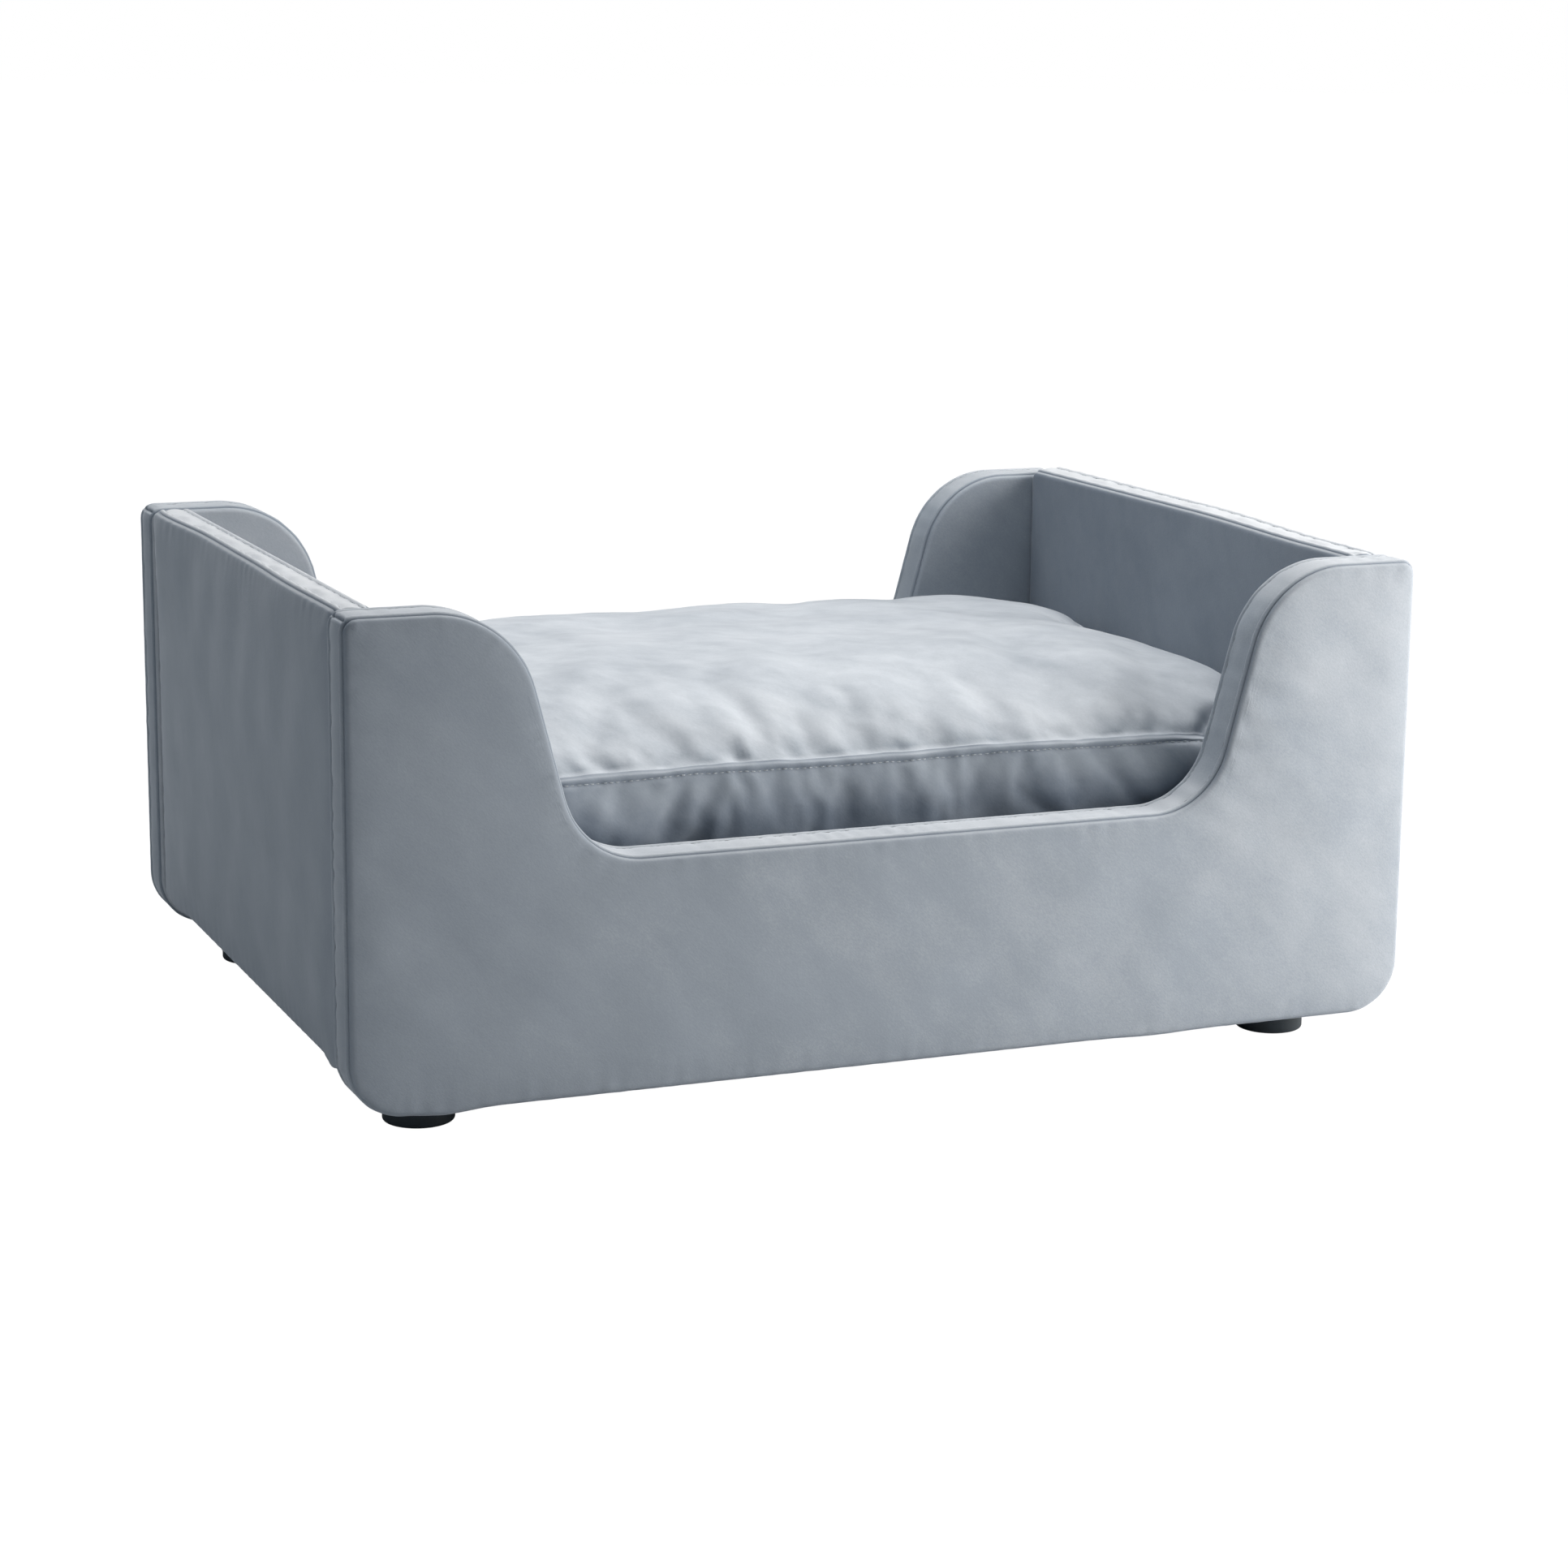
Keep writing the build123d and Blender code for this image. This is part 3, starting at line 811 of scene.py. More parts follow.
@dataclass
class PanelJacket:
    """The velvet jacket of one panel: an outer face, a boxing strip round the edge, an inner face.

    Each face rolls over its edge and dives into a seam. The boxing has a flat raised band beside
    each seam, held down by a row of stitches, and a mitre seam across it at each top corner. The
    painted light and shade of each face changes evenly along the panel, between the two values of its
    pair, and faces that look up are painted paler.
    """

    name: str
    outline: Outline
    stand: Stand
    thickness: float
    padding: float
    edge_foam: float
    ends: tuple[int, int, int, int]
    mitres: tuple[int, ...]
    divisions: tuple[int, int]
    warp: Callable[[Array], Array]
    seed: int
    roll: float = 3.2 * MM
    tuck: float = 1.0 * MM
    dome: tuple[float, float] = (1.9 * MM, 1.9 * MM)
    dome_reach: tuple[float, float] = (13 * MM, 60 * MM)
    pucker: float = 0.19 * MM
    wander: float = 0.28 * MM
    inner_share: float = 0.35
    band: float = 4.6 * MM
    seam_depth: float = 0.55 * MM
    hidden_edge: float = 2.3 * MM
    stitch_pitch: float = 5.0 * MM
    # painted light on faces that look up, and painted light and shade that changes along each face
    nap: float = 0.45
    outer_painted_light: tuple[float, float] = (0.0, 0.0)
    inner_painted_light: tuple[float, float] = (0.0, 0.0)
    creases: float = 0.0
    crease_middle: tuple[float, float] = (0.262, 0.235)
    crease_spread: tuple[float, float] = (0.055, 0.070)

    def build(self, velvet: bpy.types.Material, foam: bpy.types.Material, thread: bpy.types.Material) -> None:
        """Args:
            velvet: finish of the cover.
            foam: finish of the padding behind it.
            thread: finish of the stitches.
        """
        for side in Side:
            face = self._face(side, [velvet, foam])
            nodes = (f"{self.name}_{side.value}_cover", f"{self.name}_{side.value}_foam")
            settle(face, BED, nodes)
        boxing = self._boxing([velvet, foam])
        nodes = (f"{self.name}_boxing", f"{self.name}_edge_foam")
        settle(boxing, BED, nodes)
        settle(self._stitches([thread]), BED)

    def _relief(self, along: Array, inset: Array, plane: Array, seed: int) -> Array:
        """How far a face stands out of its plane.

        A dome that rises away from the edge, quickly and then slowly, puckers that fade from the
        seam, a slow wander, and on some panels a patch of fine level creases.

        Args:
            along: distance along the outline of the nearest edge.
            inset: distance from the edge.
            plane: place in the panel's plane.
            seed: seed of the wander.

        Returns:
            The height above the face's plane.
        """
        past = np.maximum(inset - self.roll, 0)
        rise = sum(high * (1 - np.exp(-past / reach)) for high, reach in zip(self.dome, self.dome_reach))
        gather = self.pucker * np.exp(-inset / (11 * MM)) * ease(inset / self.roll)
        gather = gather * ripple(along[:, None], 13 * MM, seed)
        wander = self.wander * ease(past / (20 * MM)) * ripple(plane, 75 * MM, seed + 1)
        height = rise + gather + wander
        if self.creases:
            near = [bell(plane[:, k] - self.crease_middle[k], self.crease_spread[k]) for k in (0, 1)]
            flank = near[0] * near[1] * ease(inset / (9 * MM))
            lines = np.stack([plane[:, 0] * 0.25, plane[:, 1] + plane[:, 0] * 0.12], 1)
            height = height + self.creases * flank * ripple(lines, 15 * MM, seed + 2, 9)
        return height

    def _face(self, side: Side, materials: list[bpy.types.Material]) -> bpy.types.Object:
        """One face: rings that roll over from the hidden edge, and a filled middle.

        The roll is a quarter circle: at an angle a it is tuck + roll (1 - cos a) in from the edge
        and roll (1 - sin a) below the face.

        Args:
            side: which face.
            materials: velvet and foam.

        Returns:
            The piece.
        """
        across, up = self.divisions
        seed = self.seed + (7 if side is Side.INNER else 0)
        turn = np.radians([4, 14, 26, 40, 55, 70, 90])
        inset = self.tuck + self.roll * np.append(1 - np.cos(turn), 1.4)
        depth = self.roll * np.append(1 - np.sin(turn), 0.0)
        hidden_inset = np.array([3.4, 3.4, 2.2, 1.35]) * MM
        hidden_depth = np.array([self.padding, *(self.roll + np.array([1.9, 1.2, 0.55]) * MM)])
        along = self.outline.stations(across, up, self.ends)
        edge, normal = self.outline.at(along)
        insets = np.concatenate([hidden_inset, inset])
        depths = np.concatenate([hidden_depth, depth])
        rings = edge[None] - normal[None] * insets[:, None, None]
        middle = fill_loop(rings[-1], across, up)[1:-1, 1:-1].reshape(-1, 2)
        near, station = self._nearest(middle)
        ring_along = np.tile(along, len(insets))
        ring_inset = np.repeat(insets, len(along))
        plane = np.concatenate([rings.reshape(-1, 2), middle])
        base = np.concatenate([np.repeat(depths, len(along)), np.zeros(len(middle))])
        all_inset = np.concatenate([ring_inset, near])
        relief = self._relief(np.concatenate([ring_along, station]), all_inset, plane, seed)
        relief[: len(hidden_inset) * len(along)] = 0
        outer = side is Side.OUTER
        below = base - relief * (1.0 if outer else self.inner_share)
        deep = below if outer else self.thickness - below
        points = self.warp(self.stand.put(plane, deep))
        quads = strip_faces(len(insets), len(along))
        patch = patch_faces(across, up, (len(insets) - 1) * len(along), len(insets) * len(along))
        cap = np.arange(len(along))[None, ::-1]
        piece = new_piece(f"{self.name}_{side.value}_face", points, [quads, patch, cap], materials)
        # painted shade: a dark line in the seam, and a faint shade for some 16 mm in from the edge
        shade = np.exp(-(all_inset - self.tuck) / (0.45 * MM)) + 0.10 * np.exp(-all_inset / (16 * MM))
        store(piece, "seam", shade)
        # painted light and shade that changes along the face, and painted light where it looks up
        near_end, far_end = self.outer_painted_light if outer else self.inner_painted_light
        share = 0.5 + 0.5 * plane[:, 0] / np.abs(plane[:, 0]).max()
        paint_light(piece, self.nap, near_end + (far_end - near_end) * share)
        return piece

    def _nearest(self, places: Array) -> tuple[Array, Array]:
        """Distance to the outline and the place along it that is nearest, for many places.

        Args:
            places: n by 2 places in the panel's plane.

        Returns:
            Distances and places along.
        """
        along = np.linspace(0, self.outline.length, int(self.outline.length / (4 * MM)), endpoint=False)
        edge = self.outline.at(along)[0]
        squares = (places**2).sum(1)[:, None] + (edge**2).sum(1)[None] - 2 * places @ edge.T
        which = squares.argmin(1)
        return np.sqrt(np.maximum(squares[np.arange(len(places)), which], 0)), along[which]

    def _edge_profile(self) -> tuple[Array, Array]:
        """Depths and insets across the boxing, from seam to seam.

        A dive into each seam, a raised band, a dip for the stitches, and between the two dips a
        crown that is a parabola.

        Returns:
            Depths below the outer face, and insets from the outline.
        """
        start = self.roll + self.seam_depth
        rise = np.array([0.0, 0.12, 0.45, 1.0, 1.9, 2.9, 3.7, 4.2, 4.6, 5.1, 5.8]) * MM
        lift = np.array([-2.6, -1.5, -0.4, 0.35, 0.90, 0.95, 0.60, 0.15, -0.12, 0.0, 0.12]) * MM
        half = self.thickness / 2 - start - rise[-1]
        share = np.linspace(-1, 1, 9)[1:-1]
        crown = 0.12 * MM + 0.75 * MM * (1 - share**2)
        middle = self.thickness / 2 + share * half
        depth = np.concatenate([start + rise, middle, self.thickness - start - rise[::-1]])
        return depth, -np.concatenate([lift, crown, lift[::-1]])

    def _boxing(self, materials: list[bpy.types.Material]) -> bpy.types.Object:
        """The strip round the edge: the edge profile carried along the outline.

        At a mitre the profile is raised by a narrow bell and sunk by a wider one each side of it.
        Elsewhere it wobbles, and the seams drift along the panel's thickness. Four more rings
        close the strip behind, round the edge foam.

        Args:
            materials: velvet and foam.

        Returns:
            The piece.
        """
        marks = np.array([self.outline.middle(corner) for corner in self.mitres])
        close = (marks[:, None] + np.linspace(-6, 6, 25) * MM).ravel()
        along = np.unique(np.concatenate([np.arange(0, self.outline.length - 1.6 * MM, 3.2 * MM), close]))
        edge, normal = self.outline.at(along)
        depth, inset = self._edge_profile()
        from_face = np.minimum(depth, self.thickness - depth)
        beside = np.abs(along[None] - marks[:, None])
        mitre = 1.25 * MM * bell(beside, 0.8 * MM).sum(0)
        mitre = mitre - 0.5 * MM * bell(beside - 2.6 * MM, 1.5 * MM).sum(0)
        wobble = 0.16 * MM * ripple(along[:, None], 17 * MM, self.seed + 3)
        crown = ease((from_face - self.roll - 1.5 * MM) / (3 * MM))
        slow = 0.35 * MM * ripple(along[:, None], 60 * MM, self.seed + 4)
        middle = ease((from_face - 8 * MM) / (5 * MM))
        outer = inset[:, None] + crown[:, None] * (mitre + wobble) + middle[:, None] * slow
        drift = 0.30 * MM * ripple(along[:, None], 22 * MM, self.seed + 5) * crown[:, None]
        deep = depth[:, None] + drift * bell(depth[:, None] - self.roll, 6 * MM)
        deep = deep - drift * bell(self.thickness - self.roll - depth[:, None], 6 * MM)
        inner_depth = np.repeat([self.thickness - self.padding, self.padding], 2)
        inner_inset = np.array([self.hidden_edge, self.edge_foam, self.edge_foam, self.hidden_edge])
        insets = np.concatenate([outer, np.repeat(inner_inset[:, None], len(along), 1)])
        depths = np.concatenate([deep, np.repeat(inner_depth[:, None], len(along), 1)])
        plane = edge[None] - normal[None] * insets[..., None]
        points = self.warp(self.stand.put(plane, depths).reshape(-1, 3))
        quads = strip_faces(len(insets), len(along), closed=True)
        hidden = len(along) * (len(inner_depth) + 1)
        piece = new_piece(f"{self.name}_edge_boxing", points, [quads[:-hidden], quads[-hidden:]], materials)
        # painted shade in the seam grooves, in the dips by the stitches, across each mitre seam and over the
        # hidden back
        groove = np.exp(-(from_face - self.roll - 0.5 * MM) / (0.7 * MM))
        stitched = 0.16 * bell(from_face - self.roll - self.band - self.seam_depth, 0.7 * MM)
        across = np.concatenate([groove + stitched, np.ones(len(inner_depth))])
        shade = across[:, None] + 0.7 * bell(beside, 1.0 * MM).sum(0)
        store(piece, "seam", shade.ravel())
        # painted light where the boxing faces up
        paint_light(piece, self.nap, 0.0)
        return piece

    def _stitches(self, materials: list[bpy.types.Material]) -> bpy.types.Object:
        """Two rows of stitches, one in the dip beside each band.

        Args:
            materials: the thread.

        Returns:
            The piece.
        """
        count = int(self.outline.length / self.stitch_pitch)
        begin = np.arange(count) * self.outline.length / count
        finish = begin + 0.70 * self.stitch_pitch
        rows = []
        dip = self.roll + self.band + self.seam_depth
        for depth in (dip, self.thickness - dip):
            ends = []
            for along in (begin, finish):
                plane, normal = self.outline.at(along)
                place = self.stand.put(plane - normal * 0.05 * MM, np.full(len(along), depth))
                ends.append(self.warp(place))
            rows.append((ends[0], ends[1], self.stand.turn(normal)))
        starts, stops, sides = (np.concatenate(part) for part in zip(*rows))
        points, faces = bars(starts, stops, sides, (0.34 * MM, 0.22 * MM), 0.20 * MM)
        return new_piece(f"{self.name}_topstitch", points, faces, materials)


# ---------------------------------------------------------------- cushion


@dataclass(frozen=True)
class RingTable:
    """Where the rings of a cushion's shell lie.

    The low rings are pairs of a place outwards and a height, the side rings are hundredths of the
    way up to the seam, and the rings over the seam are places inwards. Lengths are in millimetres.
    """

    low: tuple[tuple[float, float], ...]
    side: tuple[float, ...]
    over: tuple[float, ...]


CLOSE_RINGS = RingTable(
    low=(
        (-26, 0), (-20, 0), (-14, 0), (-9, 0), (-5.5, 0.3), (-3, 1.3),
        (-1.2, 2.8), (-0.6, 3.6), (-1.1, 4.1), (-0.3, 4.7), (0.3, 6), (0.2, 8),
    ),
    side=(
        13, 18, 24, 28.5, 30.2, 31, 32.2, 36, 41, 46, 50, 54, 59, 64, 68.2, 69, 69.8, 71.5, 76,
        81, 86, 90, 93, 94.4, 95.2, 96, 96.8, 97.8, 98.9, 99.5, 100,
    ),
    over=(0.7, 1.8, 3.4, 5.5, 8, 11, 15, 20, 25, 30),
)
COARSE_RINGS = RingTable(
    low=((-26, 0), (-20, 0), (-14, 0), (-8, 0), (-3, 1.2), (0, 5)),
    side=(11, 17, 23, 29, 35, 41, 47, 53, 59, 65, 71, 77, 83, 89, 94.5, 100),
    over=(3.4, 8, 14, 20, 25, 30),
)


# Each row is a crease's start and end in plan, in metres, and its depth and width, in millimetres.
CROWN_CREASES = (
    (-0.315, -0.215, -0.225, -0.120, 1.9, 15),
    (-0.275, -0.225, -0.205, -0.150, 1.6, 11),
    (-0.235, -0.235, -0.120, -0.085, 2.2, 17),
    (-0.155, -0.235, -0.085, -0.135, 1.5, 13),
    (-0.060, -0.240, 0.010, -0.060, 2.2, 18),
    (0.035, -0.238, 0.060, -0.150, 1.6, 13),
    (0.100, -0.235, 0.185, -0.060, 2.3, 19),
    (0.170, -0.240, 0.190, -0.170, 1.5, 11),
    (0.225, -0.235, 0.275, -0.090, 2.2, 16),
    (0.300, -0.225, 0.335, -0.120, 1.9, 13),
    (-0.330, -0.050, -0.180, 0.020, 1.8, 18),
    (-0.335, 0.120, -0.210, 0.090, 1.7, 17),
    (-0.120, 0.020, 0.120, 0.060, 1.6, 26),
    (0.240, 0.000, 0.340, 0.060, 2.0, 19),
    (0.200, 0.150, 0.335, 0.190, 1.8, 18),
    (-0.060, 0.150, 0.060, 0.235, 1.6, 19),
)


@dataclass
class BedCushion:
    """The loose boxed cushion: flat below, crowned above, with a lapped and stitched seam between.

    Its rings and its two filled middles are one closed shell. The shell is inflated as cloth, then
    fitted to the space between the panels, and the seam, the creases and the flat round the zip
    are worked into it. The most field caps the movement of the cloth, lap is how far the stitches
    are below the seam, and spare how much smaller the shell is before it is inflated.
    """

    half_length: float
    half_depth: float
    corner: float
    bottom: float
    seam: float
    top: float
    room: tuple[float, float]
    zip_level: float
    zip_half: float
    divisions: tuple[int, int] = (112, 78)
    flatness: float = 2.6
    lean: float = 7 * MM
    quick_front: float = 0.17
    quick_ends: float = 0.34
    quick_reach: float = 11 * MM
    slow_reach: float = 62 * MM
    bulge: float = 3.0 * MM
    spare: float = 6 * MM
    pressure: float = 4.0
    frames: int = 20
    most: float = 26 * MM
    lap: float = 5.2 * MM
    tape_half: float = 18.9 * MM
    stitch_pitch: float = 5 * MM

    def _outline(self) -> Outline:
        """The plan of the cushion, a rectangle with rounded corners."""
        x, y, r = self.half_length, self.half_depth, self.corner
        return Outline(((-x, -y, r), (x, -y, r), (x, y, r), (-x, y, r)))

    def crown(self, plane: Array) -> Array:
        """Height of the top above the seam.

        It rises with a smooth least of three distances in from the edge: the true one, and one from
        each pair of sides that levels off at the middle. A quick and a slow exponential of that are
        added, the quick one counting for more at the two ends.

        Args:
            plane: n by 2 places in plan.

        Returns:
            Heights.
        """
        half = np.array([self.half_length, self.half_depth]) - self.lean

        def rise(places: Array) -> Array:
            """Rise at n by 2 places, not yet scaled to the cushion's height.

            Args:
                places: the places.

            Returns:
                The rise at each one.
            """
            past = np.abs(places) - (half - self.corner)
            inset = self.corner - np.linalg.norm(np.maximum(past, 0), axis=1) - np.minimum(past.max(1), 0)
            level = half * (1 - np.abs(places / half) ** self.flatness) / self.flatness
            reach = np.maximum(np.concatenate([level, inset[:, None]], 1), 0.01 * MM)
            near = (reach**-3.0).sum(1) ** (-1 / 3)
            toward_end = ease(level[:, 1] / (level[:, 0] + level[:, 1] + MM))
            quick = self.quick_front + (self.quick_ends - self.quick_front) * toward_end
            steep, gentle = (1 - np.exp(-near / span) for span in (self.quick_reach, self.slow_reach))
            return quick * steep + (1 - quick) * gentle

        return rise(plane) / rise(np.zeros((1, 2))) * (self.top - self.seam)

    def _rows(self, fine: bool) -> tuple[Array, Array, Array]:
        """The rings between the two middles, as order, inset and height.

        Args:
            fine: whether to give the close rings of the seams and the zip.

        Returns:
            A rising order number, an inset and a height for each ring. A height above the seam is
            a share of the crown there.
        """
        table = CLOSE_RINGS if fine else COARSE_RINGS
        tall = self.seam - self.bottom
        below = np.array(table.low) * MM
        side = np.array(table.side) / 100 * tall
        over = np.array(table.over) * MM
        inset = np.concatenate([-below[:, 0], self.lean * (side / tall) ** 2.4, self.lean + over])
        height = np.concatenate([below[:, 1], side, np.full(len(over), np.nan)])
        order = np.concatenate([below[:, 0] + 0.6 * below[:, 1], side, tall + over])
        return order, inset, height + self.bottom

    def _shell(self, fine: bool, shrink: float) -> tuple[Array, int, Array, Array]:
        """Points of the shell: rings from the bottom middle's edge to the top middle's edge.

        Args:
            fine: whether the rings are the close ones.
            shrink: how much smaller than the finished size.

        Returns:
            Points, the number of rings, the rings' order numbers, and places along the outline.
        """
        across, up = self.divisions
        outline = self._outline()
        along = outline.stations(across, up, (0, 1, 2, 3))
        edge, normal = outline.at(along)
        order, inset, height = self._rows(fine)
        share = np.clip((height - self.bottom) / (self.seam - self.bottom), 0, 1)
        bulge = self.bulge * np.sin(math.pi * np.nan_to_num(share, nan=0.0)) ** 0.8
        plane = edge[None] - normal[None] * (inset - bulge + shrink)[:, None, None]
        level = np.repeat(height[:, None], len(along), 1)
        over = np.isnan(height)
        level[over] = self.seam + self.crown(plane[over].reshape(-1, 2)).reshape(over.sum(), -1)
        rings = np.concatenate([plane, level[..., None]], -1)
        top = fill_loop(rings[-1][:, :2], across, up)[1:-1, 1:-1].reshape(-1, 2)
        low = fill_loop(rings[0][:, :2], across, up)[1:-1, 1:-1].reshape(-1, 2)
        top = np.concatenate([top, self.seam + self.crown(top)[:, None]], 1)
        low = np.concatenate([low, np.full((len(low), 1), self.bottom)], 1)
        return np.concatenate([rings.reshape(-1, 3), top, low]), len(order), order, along

    def _faces(self, rows: int) -> list[Array]:
        """Faces of the shell: rings, top middle, bottom middle.

        Args:
            rows: how many rings the shell has.

        Returns:
            The faces of each of the three.
        """
        across, up = self.divisions
        around, inner = 2 * (across + up), (across - 1) * (up - 1)
        top = patch_faces(across, up, (rows - 1) * around, rows * around)
        low = patch_faces(across, up, 0, rows * around + inner)
        return [strip_faces(rows, around), top, low[:, ::-1]]

    def _inflate(self, points: Array, faces: list[Array]) -> Array:
        """Inflates the shell as cloth with a little spare fabric away from its seams.

        Args:
            points: the shell at rest.
            faces: its faces.

        Returns:
            The movement of each point, capped.
        """
        puffed = new_piece("cushion_puff", points, faces, [])
        loose = puffed.vertex_groups.new(name="loose")
        seam_row = int(np.argmin(np.abs(self._rows(False)[0] - (self.seam - self.bottom))))
        around = 2 * sum(self.divisions)
        held = np.arange(around) + seam_row * around
        loose.add(held.tolist(), 1.0, "REPLACE")
        cloth = puffed.modifiers.new("inflate", "CLOTH")
        how = cloth.settings
        how.quality = 6
        how.use_pressure = True
        how.uniform_pressure_force = self.pressure
        how.effector_weights.gravity = 0.0
        how.vertex_group_shrink = "loose"
        how.shrink_min, how.shrink_max = -0.035, 0.012
        how.bending_stiffness = 0.35
        scene = bpy.context.scene
        cloth.point_cache.frame_start, cloth.point_cache.frame_end = 1, self.frames
        for step in range(1, self.frames + 1):
            scene.frame_set(step)
        grown = puffed.evaluated_get(bpy.context.evaluated_depsgraph_get()).data
        found = np.zeros(len(points) * 3, np.float32)
        grown.vertices.foreach_get("co", found)
        scene.frame_set(1)
        bpy.data.objects.remove(puffed)
        move = found.reshape(-1, 3).astype(float) - points
        size = np.linalg.norm(move, axis=1, keepdims=True)
        LOG.info("cushion: the cloth moves up to %.1f mm", size.max() / MM)
        return move * np.tanh(size / self.most) * self.most / np.maximum(size, 1e-9)

    def _spread(self, move: Array, coarse: Array, fine: Array) -> Array:
        """Carries the movement of the coarse rings over to the close ones.

        Each close ring takes the two coarse rings either side of it, by its order number.

        Args:
            move: movement of the coarse shell's points.
            coarse: order numbers of its rings.
            fine: order numbers of the close rings.

        Returns:
            Movement of the close shell's points.
        """
        around = 2 * sum(self.divisions)
        rings = move[: len(coarse) * around].reshape(len(coarse), around, 3)
        upper = np.clip(np.searchsorted(coarse, fine), 1, len(coarse) - 1)
        span = coarse[upper] - coarse[upper - 1]
        share = np.clip((fine - coarse[upper - 1]) / span, 0, 1)[:, None, None]
        close = rings[upper - 1] * (1 - share) + rings[upper] * share
        return np.concatenate([close.reshape(-1, 3), move[len(coarse) * around :]])

    def build(self, velvet: bpy.types.Material, thread: bpy.types.Material) -> None:
        """Args:
            velvet: finish of the cover.
            thread: finish of the stitches.
        """
        points, rows, order, along = self._shell(True, 0.0)
        coarse, _, coarse_order, _ = self._shell(False, self.spare)
        move = self._inflate(coarse, self._faces(len(coarse_order)))
        points = self._fit(points, self._spread(move, coarse_order, order))
        shaped, shade = self._work_in(points, order, along)
        piece = new_piece("cushion_cover", shaped, self._faces(rows), [velvet])
        # painted shade in the seams
        store(piece, "seam", shade)
        # painted light where the cushion faces up, and on the boxing a painted shade that deepens towards the
        # bottom
        levels = (-32 * MM, -2 * MM, 3 * MM, 38 * MM)
        paint_light(piece, 0.64, eased_path(self.seam - shaped[:, 2], levels, (0.48, -0.32, -0.18, -0.88)))
        finer = piece.modifiers.new("finer", "SUBSURF")
        finer.levels = finer.render_levels = 1
        nodes = ("cushion_fill", "cushion_top_cover", "cushion_boxing", "cushion_bottom_cover")
        settle(piece, CUSHION, nodes)
        settle(self._stitches(shaped, order, [thread]), CUSHION)

    def _fit(self, points: Array, move: Array) -> Array:
        """Adds nine tenths of the movement, then scales the crown so that it keeps its height.

        Args:
            points: the shell before it is inflated.
            move: how far each point moved.

        Returns:
            The new points.
        """
        lifted = points + move * 0.9
        over = points[:, 2] > self.seam + 2 * MM
        height = (lifted[over, 2] - self.seam).max()
        lifted[over, 2] = self.seam + (lifted[over, 2] - self.seam) * (self.top - self.seam) / height
        return lifted

    def _work_in(self, points: Array, order: Array, along: Array) -> tuple[Array, Array]:
        """Works the seam, the creases and the zip's flat into the shell.

        The seam is a narrow groove with a low ridge and the stitches' dip below it. Gathers of two
        wavelengths fade out above and below it, and past the room the shell is held back softly.

        Args:
            points: the shell's points.
            order: order numbers of its rings.
            along: places along the outline.

        Returns:
            The points, and the painted shade in the seams at each, from 0 to 1.
        """
        rows, around = len(order), len(along)
        rings = points[: rows * around].reshape(rows, around, 3).copy()
        out = self._outline().at(along)[1]
        tall = self.seam - self.bottom
        gone = (order - tall)[:, None]
        gather = ripple(along[:, None], 15 * MM, 31)[None]
        wide = ripple(along[:, None], 42 * MM, 32)[None]
        crease = -1.7 * MM * bell(gone - 0.2 * MM, 0.9 * MM)
        ridge = 0.6 * MM * bell(gone + 2.6 * MM, 1.9 * MM)
        dip = -1.0 * MM * bell(gone + self.lap, 1.1 * MM)
        below = bell(gone + 11 * MM, 8 * MM) * (0.35 * gather + 0.6 * wide) * MM
        above = bell(gone - 9 * MM, 8 * MM) * (0.6 * gather + 0.9 * wide) * MM
        low = 0.7 * MM * bell(order[:, None] - 8 * MM, 6 * MM) * gather
        push = crease + ridge + dip + below + above + low
        midway = np.sin(math.pi * np.clip(order[:, None] / tall, 0, 1))
        slack = 1.6 * MM * midway * ripple(along[:, None], 85 * MM, 34)[None]
        rings[..., :2] += out[None] * (push + slack)[..., None]
        rings[..., 2] += bell(gone - 9 * MM, 8 * MM) * 0.5 * MM * gather
        # painted shade in the top seam's crease, in the stitch dip below it and along the bottom seam
        seam_shade = 1.2 * bell(gone - 0.1 * MM, 1.2 * MM) + 0.6 * bell(gone + self.lap, 0.9 * MM)
        shade = np.clip(seam_shade, 0, 1) + bell(order[:, None] - 4 * MM, 1.2 * MM)
        points = np.concatenate([rings.reshape(-1, 3), points[rows * around :]])
        points = self._crease_top(points)
        points[:, 2] = np.maximum(points[:, 2], self.bottom)
        points = self._flatten_zip(points)
        give = 4 * MM
        past = np.maximum(np.abs(points[:, :2]) - (np.array(self.room) - give), 0)
        points[:, :2] += np.sign(points[:, :2]) * (give * np.tanh(past / give) - past)
        plain = np.zeros(len(points) - rows * around)
        return points, np.concatenate([np.repeat(shade.ravel(), around), plain])

    def _crease_top(self, points: Array) -> Array:
        """Presses soft creases into the crown.

        Each is a gently curved valley, a bell across its line, with a lower swelling beside it.
        Along the line the bell fades out at both ends. Two slow ripples are added.

        Args:
            points: the shell's points.

        Returns:
            The creased points.
        """
        start = self.seam + 3 * MM
        over = points[:, 2] > start
        fade = ease((points[:, 2] - start) / (14 * MM))
        drop = np.zeros(len(points))
        for x0, y0, x1, y1, deep, wide in CROWN_CREASES:
            way = np.array([x1 - x0, y1 - y0])
            reach = np.linalg.norm(way)
            gone = (points[:, :2] - (x0, y0)) @ way / reach
            aside = (points[:, :2] - (x0, y0)) @ np.array([-way[1], way[0]]) / reach
            aside = aside + 6 * MM * np.sin(gone / reach * 3.0)
            ends = bell(gone - reach / 2, reach * 0.55)
            shape = bell(aside, wide * MM) - 0.75 * bell(aside - 1.5 * wide * MM, 1.2 * wide * MM)
            drop += deep * MM * ends * shape
        plane = points[:, :2]
        drop -= 0.8 * MM * ripple(plane, 90 * MM, 41) + 0.12 * MM * ripple(plane, 28 * MM, 42)
        points = points.copy()
        points[over, 2] -= (drop * fade)[over]
        return points

